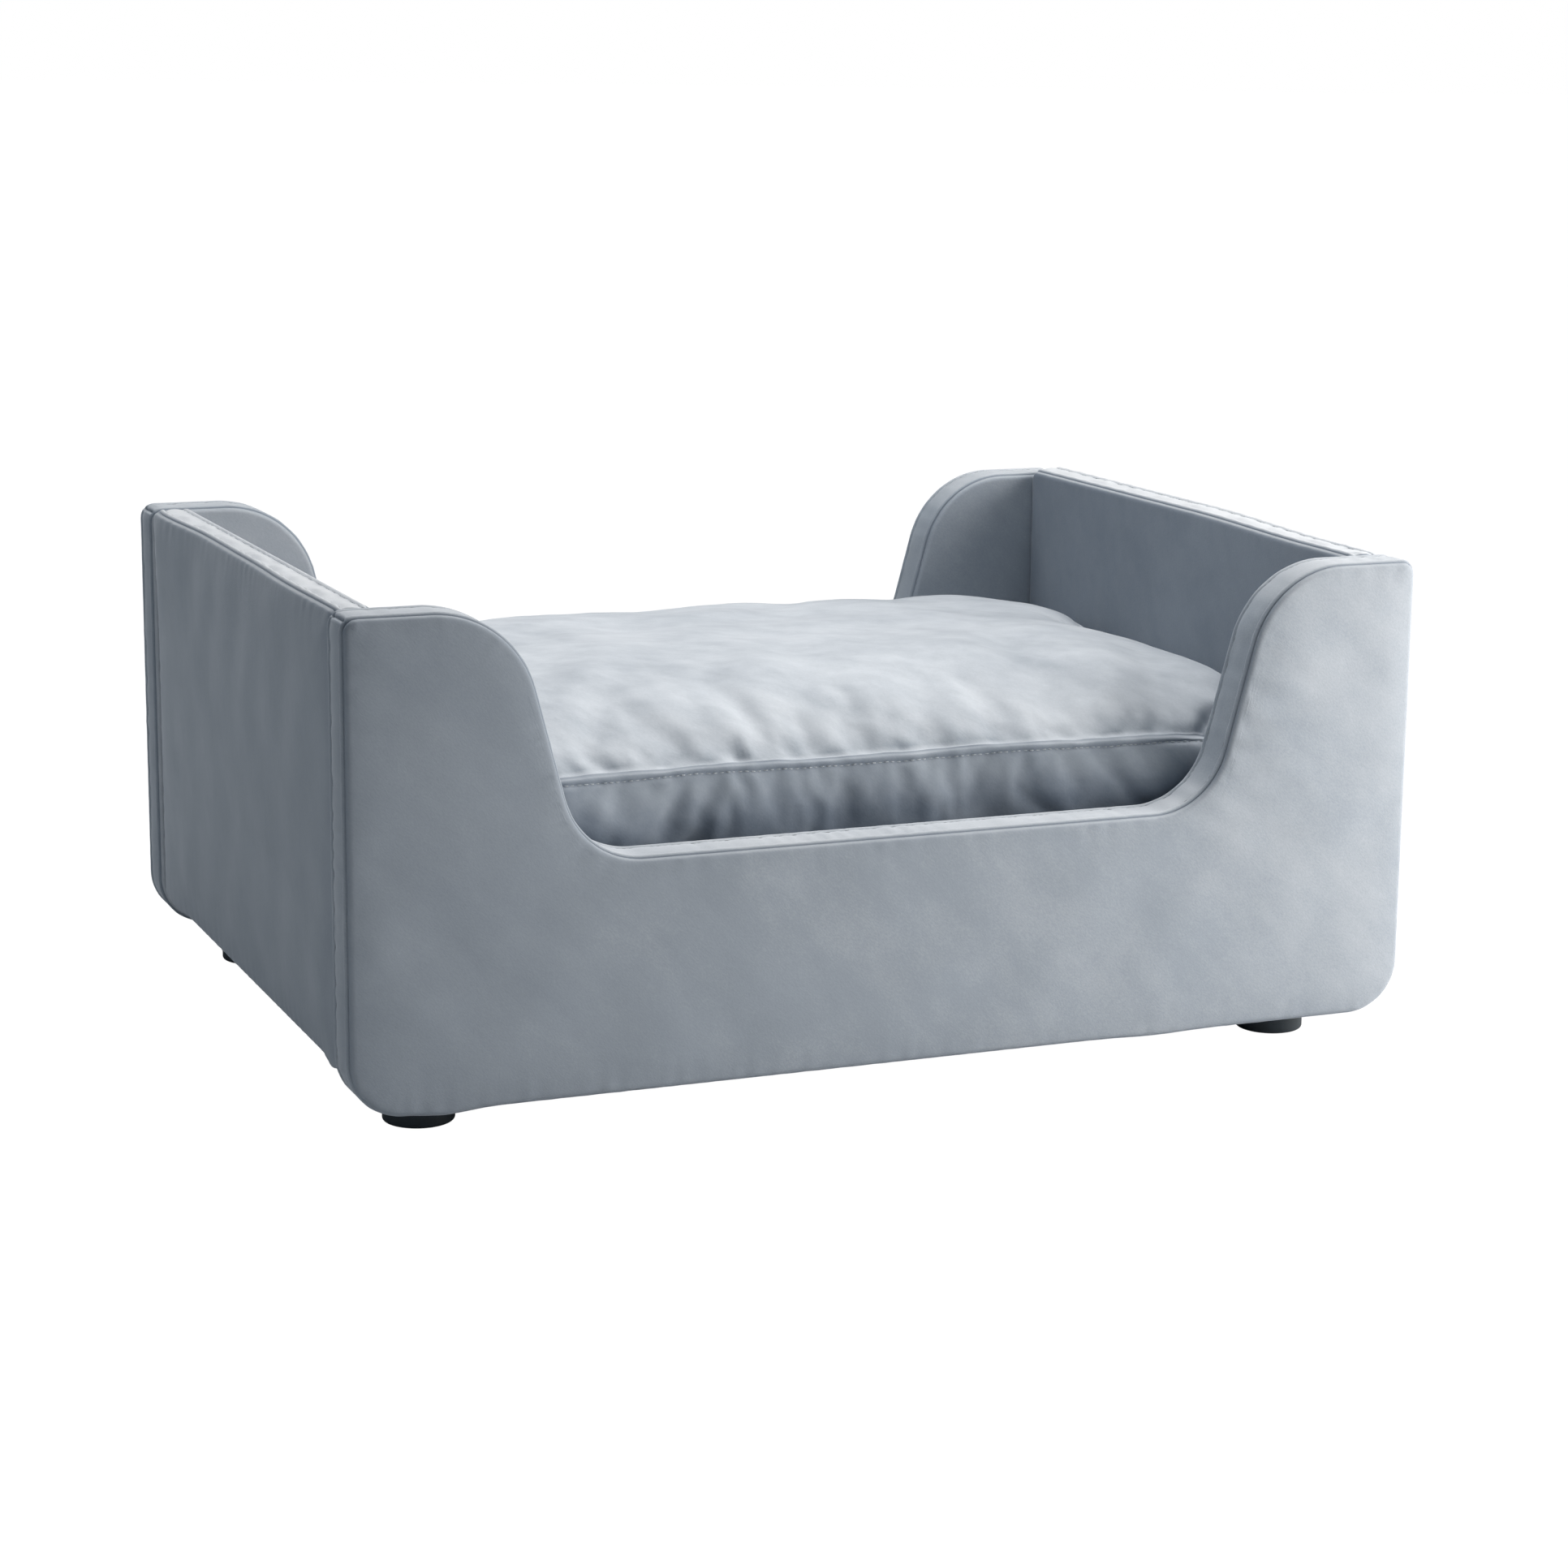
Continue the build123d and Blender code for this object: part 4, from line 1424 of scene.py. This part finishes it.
    def _flatten_zip(self, points: Array) -> Array:
        """Holds the back boxing flat beside the zip, with a step down to the tapes.

        Args:
            points: the shell's points, which are changed in place.

        Returns:
            The same points.
        """
        high = np.abs(points[:, 2] - self.zip_level)
        wide = np.abs(points[:, 0])
        back = points[:, 1] > self.half_depth - 25 * MM
        margin, fade = 20 * MM, 14 * MM
        calm = (1 - ease((high - margin) / fade)) * (1 - ease((wide - self.zip_half - margin) / fade)) * back
        step = (high < self.tape_half) & (wide < self.zip_half)
        flat = self.half_depth + np.where(step, -1.8 * MM, 0.25 * MM)
        points[:, 1] += (flat - points[:, 1]) * calm
        return points

    def _stitches(self, points: Array, order: Array, materials: list[bpy.types.Material]) -> bpy.types.Object:
        """A row of stitches in the dip below the top seam's ridge.

        Args:
            points: the shell's points.
            order: order numbers of its rings.
            materials: the thread.

        Returns:
            The piece.
        """
        around = 2 * sum(self.divisions)
        row = int(np.argmin(np.abs(order - (self.seam - self.bottom - self.lap))))
        ring = points[row * around : (row + 1) * around]
        closed = np.concatenate([ring, ring[:1]])
        gone = np.concatenate([[0], np.cumsum(np.linalg.norm(np.diff(closed, axis=0), axis=1))])
        count = int(gone[-1] / self.stitch_pitch)
        begin = np.arange(count) * gone[-1] / count
        ends = [
            np.stack([np.interp(place, gone, closed[:, axis]) for axis in range(3)], 1)
            for place in (begin, begin + 0.68 * self.stitch_pitch)
        ]
        way = ends[1] - ends[0]
        sides = np.stack([way[:, 1], -way[:, 0], np.zeros(count)], 1)
        sides /= np.linalg.norm(sides, axis=1, keepdims=True)
        lift = sides * 0.35 * MM
        threads, faces = bars(ends[0] + lift, ends[1] + lift, sides, (0.42 * MM, 0.34 * MM), 0.2 * MM)
        return new_piece("cushion_topstitch", threads, faces, materials)


# ---------------------------------------------------------------- zip, dust cover, hardware


@dataclass
class CoilZip:
    """The zip's coil: a row of small teeth from each tape, that cross in the middle."""

    pitch: float = 2.3 * MM
    reach: float = 2.45 * MM
    cross: float = 0.35 * MM
    recess: float = 0.55 * MM

    def build(self, coil: bpy.types.Material) -> None:
        """Args:
            coil: finish of the teeth.
        """
        low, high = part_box("zip_teeth")
        face, level = high.y - self.recess, (low.z + high.z) / 2
        count = int((high.x - low.x) / self.pitch) - 1
        x = low.x + self.pitch * (np.arange(count) + 0.75)
        depth = np.full(count, face)
        rows = [
            [
                np.stack([x + side * self.pitch / 4, depth, np.full(count, level + side * far)], 1)
                for side in (-1, 1)
            ]
            for far in (self.reach, -self.cross)
        ]
        starts, ends = (np.concatenate(row) for row in rows)
        sides = np.tile((0.0, 1.0, 0.0), (len(starts), 1))
        points, faces = bars(starts, ends, sides, (0.5 * MM, 0.55 * MM), 0.3 * MM)
        core = self._core(low, high, face)
        faces = [faces[0], core[1] + len(points), faces[1]]
        piece = new_piece("zip_coil_teeth", np.concatenate([points, core[0]]), faces, [coil])
        settle(piece, CUSHION, ("zip_teeth",))

    @staticmethod
    def _core(low: Array, high: Array, face: float) -> tuple[Array, Array]:
        """The tape's edge that the teeth are sewn round: a flattened tube, nearly closed at its ends.

        Args:
            low: lowest corner of the zip's teeth.
            high: highest corner of the zip's teeth.
            face: how far back the teeth's face is.

        Returns:
            Points and faces.
        """
        sides = 8
        turn = np.arange(sides) / sides * math.tau
        x = np.repeat(np.array([low.x, low.x, high.x, high.x]), sides)
        size = np.repeat(np.array([0.02, 1.0, 1.0, 0.02]), sides)
        y = face - 0.5 * MM + size * np.tile(np.cos(turn), 4) * 0.35 * MM
        z = (low.z + high.z) / 2 + size * np.tile(np.sin(turn), 4) * 2.3 * MM
        return np.stack([x, y, z], 1), strip_faces(4, sides)


@dataclass
class DustCover:
    """The black cloth stapled under the base: it sags a little between the rails."""

    sag: float = 1.6 * MM
    ruck: float = 0.35 * MM
    thickness: float = 0.5 * MM
    divisions: tuple[int, int] = (181, 127)
    staples: tuple[int, int] = (14, 9)
    staple_inset: float = 9 * MM
    corner_gap: float = 60 * MM

    def build(self, cloth: bpy.types.Material, steel: bpy.types.Material) -> None:
        """The sag is the product of a half sine across each bay and one along the depth, with a
        slight ruck, and it fades out round each foot.

        Args:
            cloth: finish of the cloth.
            steel: finish of the staples.
        """
        low, high = (np.array(corner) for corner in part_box("dust_cover"))
        rail = np.array(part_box("right_cross_rail")[0])[0], np.array(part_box("right_cross_rail")[1])[0]
        inner = np.array(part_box("right_rail")[0])[0]
        front = np.array(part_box("front_rail")[1])[1]
        x, y = (np.linspace(low[k], high[k], self.divisions[k]) for k in (0, 1))
        bays = ((-inner, -rail[1]), (-rail[0], rail[0]), (rail[1], inner))
        across = sum(np.sin(math.pi * np.clip((x - a) / (b - a), 0, 1)) for a, b in bays)
        along = np.sin(math.pi * np.clip((y - front) / (-2 * front), 0, 1)) ** 0.6
        grid = np.stack(np.meshgrid(x, y, indexing="ij"), -1)
        ruck = ripple(grid.reshape(-1, 2), 45 * MM, 61).reshape(grid.shape[:2])
        hang = across[:, None] * along[None] * (self.sag + self.ruck * ruck)
        feet = [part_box(f"{side}_{face}_foot") for side in ("left", "right") for face in ("front", "back")]
        for foot in feet:
            middle = (np.array(foot[0]) + np.array(foot[1]))[:2] / 2
            hang *= ease((np.linalg.norm(grid - middle, axis=-1) - 30 * MM) / (40 * MM))
        upper = np.concatenate([grid, (high[2] - 0.05 * MM - hang)[..., None]], -1)
        lower = upper - (0, 0, self.thickness)
        nx, ny = grid.shape[:2]
        index = np.arange(nx * ny).reshape(nx, ny)
        top = np.stack([index[:-1, :-1], index[1:, :-1], index[1:, 1:], index[:-1, 1:]], -1).reshape(-1, 4)
        rim = np.concatenate([index[:, 0], index[-1, 1:], index[-2::-1, -1], index[0, -2:0:-1]])
        ahead = np.roll(rim, -1)
        wall = np.stack([rim, ahead, ahead + nx * ny, rim + nx * ny], -1)
        points = np.concatenate([upper.reshape(-1, 3), lower.reshape(-1, 3)])
        piece = new_piece("dust_cover_cloth", points, [top, top[:, ::-1] + nx * ny, wall], [cloth])
        settle(piece, BED, ("dust_cover",))
        settle(self._staples(low, high, [steel]), BED)

    def _staples(self, low: Array, high: Array, materials: list[bpy.types.Material]) -> bpy.types.Object:
        """Staples round the edge of the cloth, each turned a little from its row.

        Args:
            low: lowest corner of the cloth.
            high: highest corner of the cloth.
            materials: the steel.

        Returns:
            The piece.
        """
        half = (high - low)[:2] / 2 - self.staple_inset
        reach = half - self.corner_gap
        x, y = (np.linspace(-reach[k], reach[k], self.staples[k]) for k in (0, 1))
        rows = [np.stack([x, np.full(len(x), s * half[1]), np.zeros(len(x))], 1) for s in (-1, 1)]
        upright = np.full(len(y), math.pi / 2)
        rows += [np.stack([np.full(len(y), s * half[0]), y, upright], 1) for s in (-1, 1)]
        places = np.concatenate(rows)
        turn = places[:, 2] + np.random.default_rng(71).normal(0, 0.12, len(places))
        way = np.stack([np.cos(turn), np.sin(turn), np.zeros(len(turn))], 1) * 5 * MM
        middle = np.concatenate([places[:, :2], np.full((len(places), 1), high[2] - 0.75 * MM)], 1)
        down = np.tile((0.0, 0.0, -1.0), (len(places), 1))
        points, faces = bars(middle - way, middle + way, down, (0.45 * MM, 0.25 * MM), 0.3 * MM)
        return new_piece("dust_cover_staples", points, faces, materials)


def dress_nodes() -> None:
    """Gives each carried-over node its finish."""
    rows = {
        PINE_LONG: ["front_rail", "back_rail"],
        PINE_SHORT: ["left_rail", "right_rail", "left_cross_rail", "right_cross_rail"],
        PINE_UP: [f"{corner}_block" for corner in CORNERS],
        FOOT_PLASTIC: [f"{corner}_foot" for corner in CORNERS],
        PLY_DECK: ["deck"],
        PLY_BOARD: [f"{panel}_board" for panel in ("front_panel", "back_panel", "left_end", "right_end")],
        ZINC: ["foot_screws", "deck_screws", "panel_bolts", "panel_washers", "panel_tee_nuts"],
        BEECH: ["panel_dowels"],
        ZIP_TAPE: ["zip_tapes"],
        ZIP_METAL: ["zip_stops", "zip_slider", "zip_pull"],
    }
    for finish, nodes in rows.items():
        material = finish.material()
        for node in nodes:
            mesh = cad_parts[node].data
            mesh.materials.clear()
            mesh.materials.append(material)
        LOG.info("%s on %s", material.name, ", ".join(nodes))


# ---------------------------------------------------------------- studio


@dataclass(frozen=True)
class SoftLight:
    """A rectangular soft light: where it stands and points, its size, its power in watts, its colour."""

    name: str
    eye: Colour
    aim: Colour
    size: tuple[float, float]
    power: float
    colour: Colour


WARM = (1.0, 0.955, 0.90)
LIGHTS = (
    SoftLight("overhead", (0.15, 0.25, 1.9), (0.05, 0.0, 0.2), (1.6, 1.2), 32.0, (1.0, 0.985, 0.96)),
    SoftLight("right_front", (1.25, -1.15, 0.75), (0.35, -0.3, 0.18), (0.8, 1.0), 19.0, WARM),
    SoftLight("right_graze", (1.3, -0.62, 0.5), (0.2, -0.3, 0.2), (0.3, 0.8), 11.0, WARM),
    SoftLight("left", (-2.1, 0.3, 1.2), (0.0, 0.0, 0.2), (1.2, 1.0), 4.8, (0.90, 0.96, 1.0)),
)


@dataclass
class Studio:
    """White sweep, soft lights and the camera, whose angles are in degrees."""

    eye: tuple[float, float, float] = (-0.983179, -2.442111, 0.721371)
    yaw: float = 22.5445
    pitch: float = 11.9439
    roll: float = 0.5753
    lens: float = 80.27

    def camera(self) -> None:
        """Stands the camera: turned from +Y by the yaw, tipped down by the pitch, then rolled."""
        yaw, pitch, roll = (math.radians(a) for a in (self.yaw, self.pitch, self.roll))
        level = np.array([math.sin(yaw), math.cos(yaw), 0.0]) * math.cos(pitch)
        ahead = level - np.array([0.0, 0.0, math.sin(pitch)])
        right = np.array([math.cos(yaw), -math.sin(yaw), 0.0])
        up = np.cross(right, ahead)
        across = right * math.cos(roll) + up * math.sin(roll)
        over = up * math.cos(roll) - right * math.sin(roll)
        data = bpy.data.cameras.new("camera")
        data.lens, data.sensor_width = self.lens, 36.0
        camera = bpy.data.objects.new("camera", data)
        columns = np.stack([across, over, -ahead, self.eye], 1)
        camera.matrix_world = Matrix([*columns.tolist(), [0, 0, 0, 1]])
        bpy.context.scene.collection.objects.link(camera)
        bpy.context.scene.camera = camera

    @staticmethod
    def light(lamp: SoftLight) -> None:
        """Adds a rectangular soft light that the camera doesn't see.

        Args:
            lamp: the light's place, size, power and colour.
        """
        data = bpy.data.lights.new(lamp.name, "AREA")
        data.color, data.energy = lamp.colour, lamp.power
        data.shape, data.size, data.size_y = "RECTANGLE", *lamp.size
        box = bpy.data.objects.new(lamp.name, data)
        box.visible_camera = False
        way = np.array(lamp.aim) - np.array(lamp.eye)
        back = -way / np.linalg.norm(way)
        side = np.cross((0.0, 0.0, 1.0), back)
        side /= np.linalg.norm(side)
        columns = np.stack([side, np.cross(back, side), back, lamp.eye], 1)
        box.matrix_world = Matrix([*columns.tolist(), [0, 0, 0, 1]])
        bpy.context.scene.collection.objects.link(box)

    def sweep(self) -> None:
        """Lays the pale floor, which is bright to the eye but lights the bed no more than paper."""
        graph = Graph("studio_floor")
        seen = graph.node("LightPath", {}, {}, "Is Camera Ray")
        paper = graph.node("BsdfDiffuse", {}, {"Color": (0.86, 0.87, 0.88, 1.0)})
        glow = graph.node("Emission", {}, {"Color": (1.0, 1.0, 1.0, 1.0), "Strength": 1.08})
        both = graph.node("MixShader", {}, {0: seen * 0.93, 1: paper, 2: glow})
        graph.node("OutputMaterial", {}, {"Surface": both})
        ring, reach, drop = 32, 60.0, 0.2 * MM
        turn = np.arange(ring) / ring * math.tau
        disc = np.stack([np.cos(turn) * reach, np.sin(turn) * reach, np.full(ring, -drop)], 1)
        mesh = bpy.data.meshes.new("studio_floor")
        mesh.from_pydata(disc.tolist(), [], [list(range(ring))])
        mesh.materials.append(graph.material)
        floor = bpy.data.objects.new("studio_floor", mesh)
        bpy.context.scene.collection.objects.link(floor)

    def world(self) -> None:
        """White to the eye, a dimmer blue-white as light."""
        world = bpy.data.worlds.new("studio")
        world.use_nodes = True
        bpy.context.scene.world = world
        tree = world.node_tree
        tree.nodes.clear()
        path = tree.nodes.new("ShaderNodeLightPath")
        mix = tree.nodes.new("ShaderNodeMixShader")
        out = tree.nodes.new("ShaderNodeOutputWorld")
        glows = ((0.80, 0.90, 1.0, 1.0), 0.10), ((1.0, 1.0, 1.0, 1.0), 1.0)
        for slot, (colour, strength) in enumerate(glows, 1):
            glow = tree.nodes.new("ShaderNodeBackground")
            glow.inputs["Color"].default_value = colour
            glow.inputs["Strength"].default_value = strength
            tree.links.new(glow.outputs[0], mix.inputs[slot])
        tree.links.new(path.outputs["Is Camera Ray"], mix.inputs[0])
        tree.links.new(mix.outputs[0], out.inputs["Surface"])

    def build(self) -> None:
        """Sets up the camera, the sweep and the lights."""
        self.camera()
        self.sweep()
        self.world()
        for lamp in LIGHTS:
            self.light(lamp)
        scene = bpy.context.scene
        scene.view_settings.view_transform = "Standard"
        scene.view_settings.look = "None"


# ---------------------------------------------------------------- the bed


def still(points: Array) -> Array:
    """A panel that isn't pulled out of shape."""
    return points


def slump_long(points: Array) -> Array:
    """The front and back panels' padding hangs a little over the feet.

    Args:
        points: the jacket's points.

    Returns:
        The moved points.
    """
    low = 1 - ease((points[:, 2] - 0.025) / 0.05)
    hang = 2.6 * bell(points[:, 0] + 0.333, 0.022) + 1.2 * bell(points[:, 0] - 0.20, 0.03)
    moved = points.copy()
    moved[:, 2] -= hang * MM * low
    return moved


def pull_left(points: Array) -> Array:
    """The left end's top edge wanders in and out, and its lower edge hangs at both corners.

    Args:
        points: the jacket's points.

    Returns:
        The moved points.
    """
    high = ease((points[:, 2] - 0.25) / 0.11)
    outer = ease((-0.372 - points[:, 0]) / 0.022)
    places = (-0.26, -0.145, -0.021, 0.106, 0.234, 0.26)
    wave = eased_path(points[:, 1], places, (0.2, -1.0, 1.3, 2.0, -2.8, -1.5))
    low = 1 - ease((points[:, 2] - 0.049) / 0.035)
    hang = 3.4 * bell(points[:, 1] - 0.222, 0.026) + 4.6 * bell(points[:, 1] + 0.240, 0.012)
    moved = points.copy()
    moved[:, 0] += wave * MM * high * outer
    moved[:, 2] -= hang * MM * low
    return moved


def pull_right(points: Array) -> Array:
    """The right end's padding stands a little proud of the wings, most of all at the back.

    Args:
        points: the jacket's points.

    Returns:
        The moved points.
    """
    high = ease((points[:, 2] - 0.30) / 0.06)
    rise = eased_path(points[:, 1], (-0.26, -0.20, -0.02, 0.26), (0.0, 0.3, 3.6, 3.9))
    outer = 1 + 0.35 * ease((points[:, 0] - 0.367) / 0.03)
    moved = points.copy()
    moved[:, 2] += rise * MM * high * outer
    return moved


def long_outline() -> Outline:
    """Outline of the front and back panels: two wings with a scoop between them.

    Returns:
        The outline.
    """
    low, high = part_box("front_panel_boxing")
    half, foot, top = high.x, low.z, high.z
    wing, scoop, floor = 0.284, 0.2376, 0.187
    return Outline(
        (
            (-half, foot, 0.038),
            (half, foot, 0.038),
            (half, top, 0.010),
            (wing, top, 0.073),
            (scoop, floor, 0.058),
            (-scoop, floor, 0.058),
            (-wing, top, 0.073),
            (-half, top, 0.010),
        )
    )


def end_outline() -> Outline:
    """Outline of the end panels: a rectangle with small rounded corners.

    Returns:
        The outline.
    """
    low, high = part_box("left_end_boxing")
    half, r = high.y, 0.008
    return Outline(((-half, low.z, r), (half, low.z, r), (half, high.z, r), (-half, high.z, r)))


def jackets() -> list[PanelJacket]:
    """The four panels' jackets.

    Returns:
        Front, back, left and right.
    """
    outer = -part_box("front_panel_outer_cover")[0].y
    end_outer = -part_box("left_end_outer_cover")[0].x
    long_sizes = dict(
        outline=long_outline(), thickness=40 * MM, padding=11 * MM, edge_foam=6 * MM,
        ends=(0, 1, 2, 7), mitres=(2, 7), divisions=(236, 92),
    )
    # painted light: the end panels' faces that look up are painted paler than the long panels'
    end_sizes = dict(
        outline=end_outline(), thickness=30 * MM, padding=9 * MM, edge_foam=6 * MM,
        ends=(0, 1, 2, 3), mitres=(2, 3), divisions=(150, 90), nap=0.95,
    )
    front = Stand((0.0, -outer, 0.0), (1.0, 0.0, 0.0), (0.0, 1.0, 0.0))
    back = Stand((0.0, outer, 0.0), (-1.0, 0.0, 0.0), (0.0, -1.0, 0.0))
    left = Stand((-end_outer, 0.0, 0.0), (0.0, -1.0, 0.0), (1.0, 0.0, 0.0))
    right = Stand((end_outer, 0.0, 0.0), (0.0, 1.0, 0.0), (-1.0, 0.0, 0.0))
    # painted light and shade along each face: the front's outer face from darker at the left to paler at the
    # right, the back's inner face paler towards the left, the left end's outer face darker, most at the
    # front, and the right end's inner face darker, most at the back
    return [
        PanelJacket("front_panel", stand=front, warp=slump_long, seed=100, creases=0.35 * MM,
            outer_painted_light=(-0.12, 0.14), **long_sizes),
        PanelJacket("back_panel", stand=back, warp=still, seed=200, inner_painted_light=(0.0, 0.45), **long_sizes),
        PanelJacket("left_end", stand=left, warp=pull_left, seed=300,
            outer_painted_light=(-0.03, -0.18), **end_sizes),
        PanelJacket("right_end", stand=right, warp=pull_right, seed=400,
            inner_painted_light=(-0.25, -0.60), **end_sizes),
    ]


def bed_cushion() -> BedCushion:
    """The cushion, sized by its nodes and the room between the panels.

    Returns:
        The cushion.
    """
    low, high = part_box("cushion_boxing")
    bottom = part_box("cushion_bottom_cover")[0].z
    zip_low, zip_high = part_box("zip_teeth")
    return BedCushion(
        half_length=high.x,
        half_depth=high.y,
        corner=0.040,
        bottom=bottom,
        seam=high.z,
        top=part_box("cushion_top_cover")[1].z + 0.001,
        room=(0.3655, 0.2583),
        zip_level=(zip_low.z + zip_high.z) / 2,
        zip_half=zip_high.x,
    )


def main() -> None:
    """Builds the bed piece by piece, and the studio round it."""
    logging.basicConfig(level=logging.INFO, format="%(message)s")
    Studio().build()
    velvet, foam, thread = VELVET.material(), FOAM.material(), PANEL_THREAD.material()
    for jacket in jackets():
        jacket.build(velvet, foam, thread)
    bed_cushion().build(CUSHION_VELVET.material(), CUSHION_THREAD.material())
    CoilZip().build(ZIP_COIL.material())
    DustCover().build(DUST_CLOTH.material(), ZINC.material())
    dress_nodes()


if __name__ == "__main__":
    main()
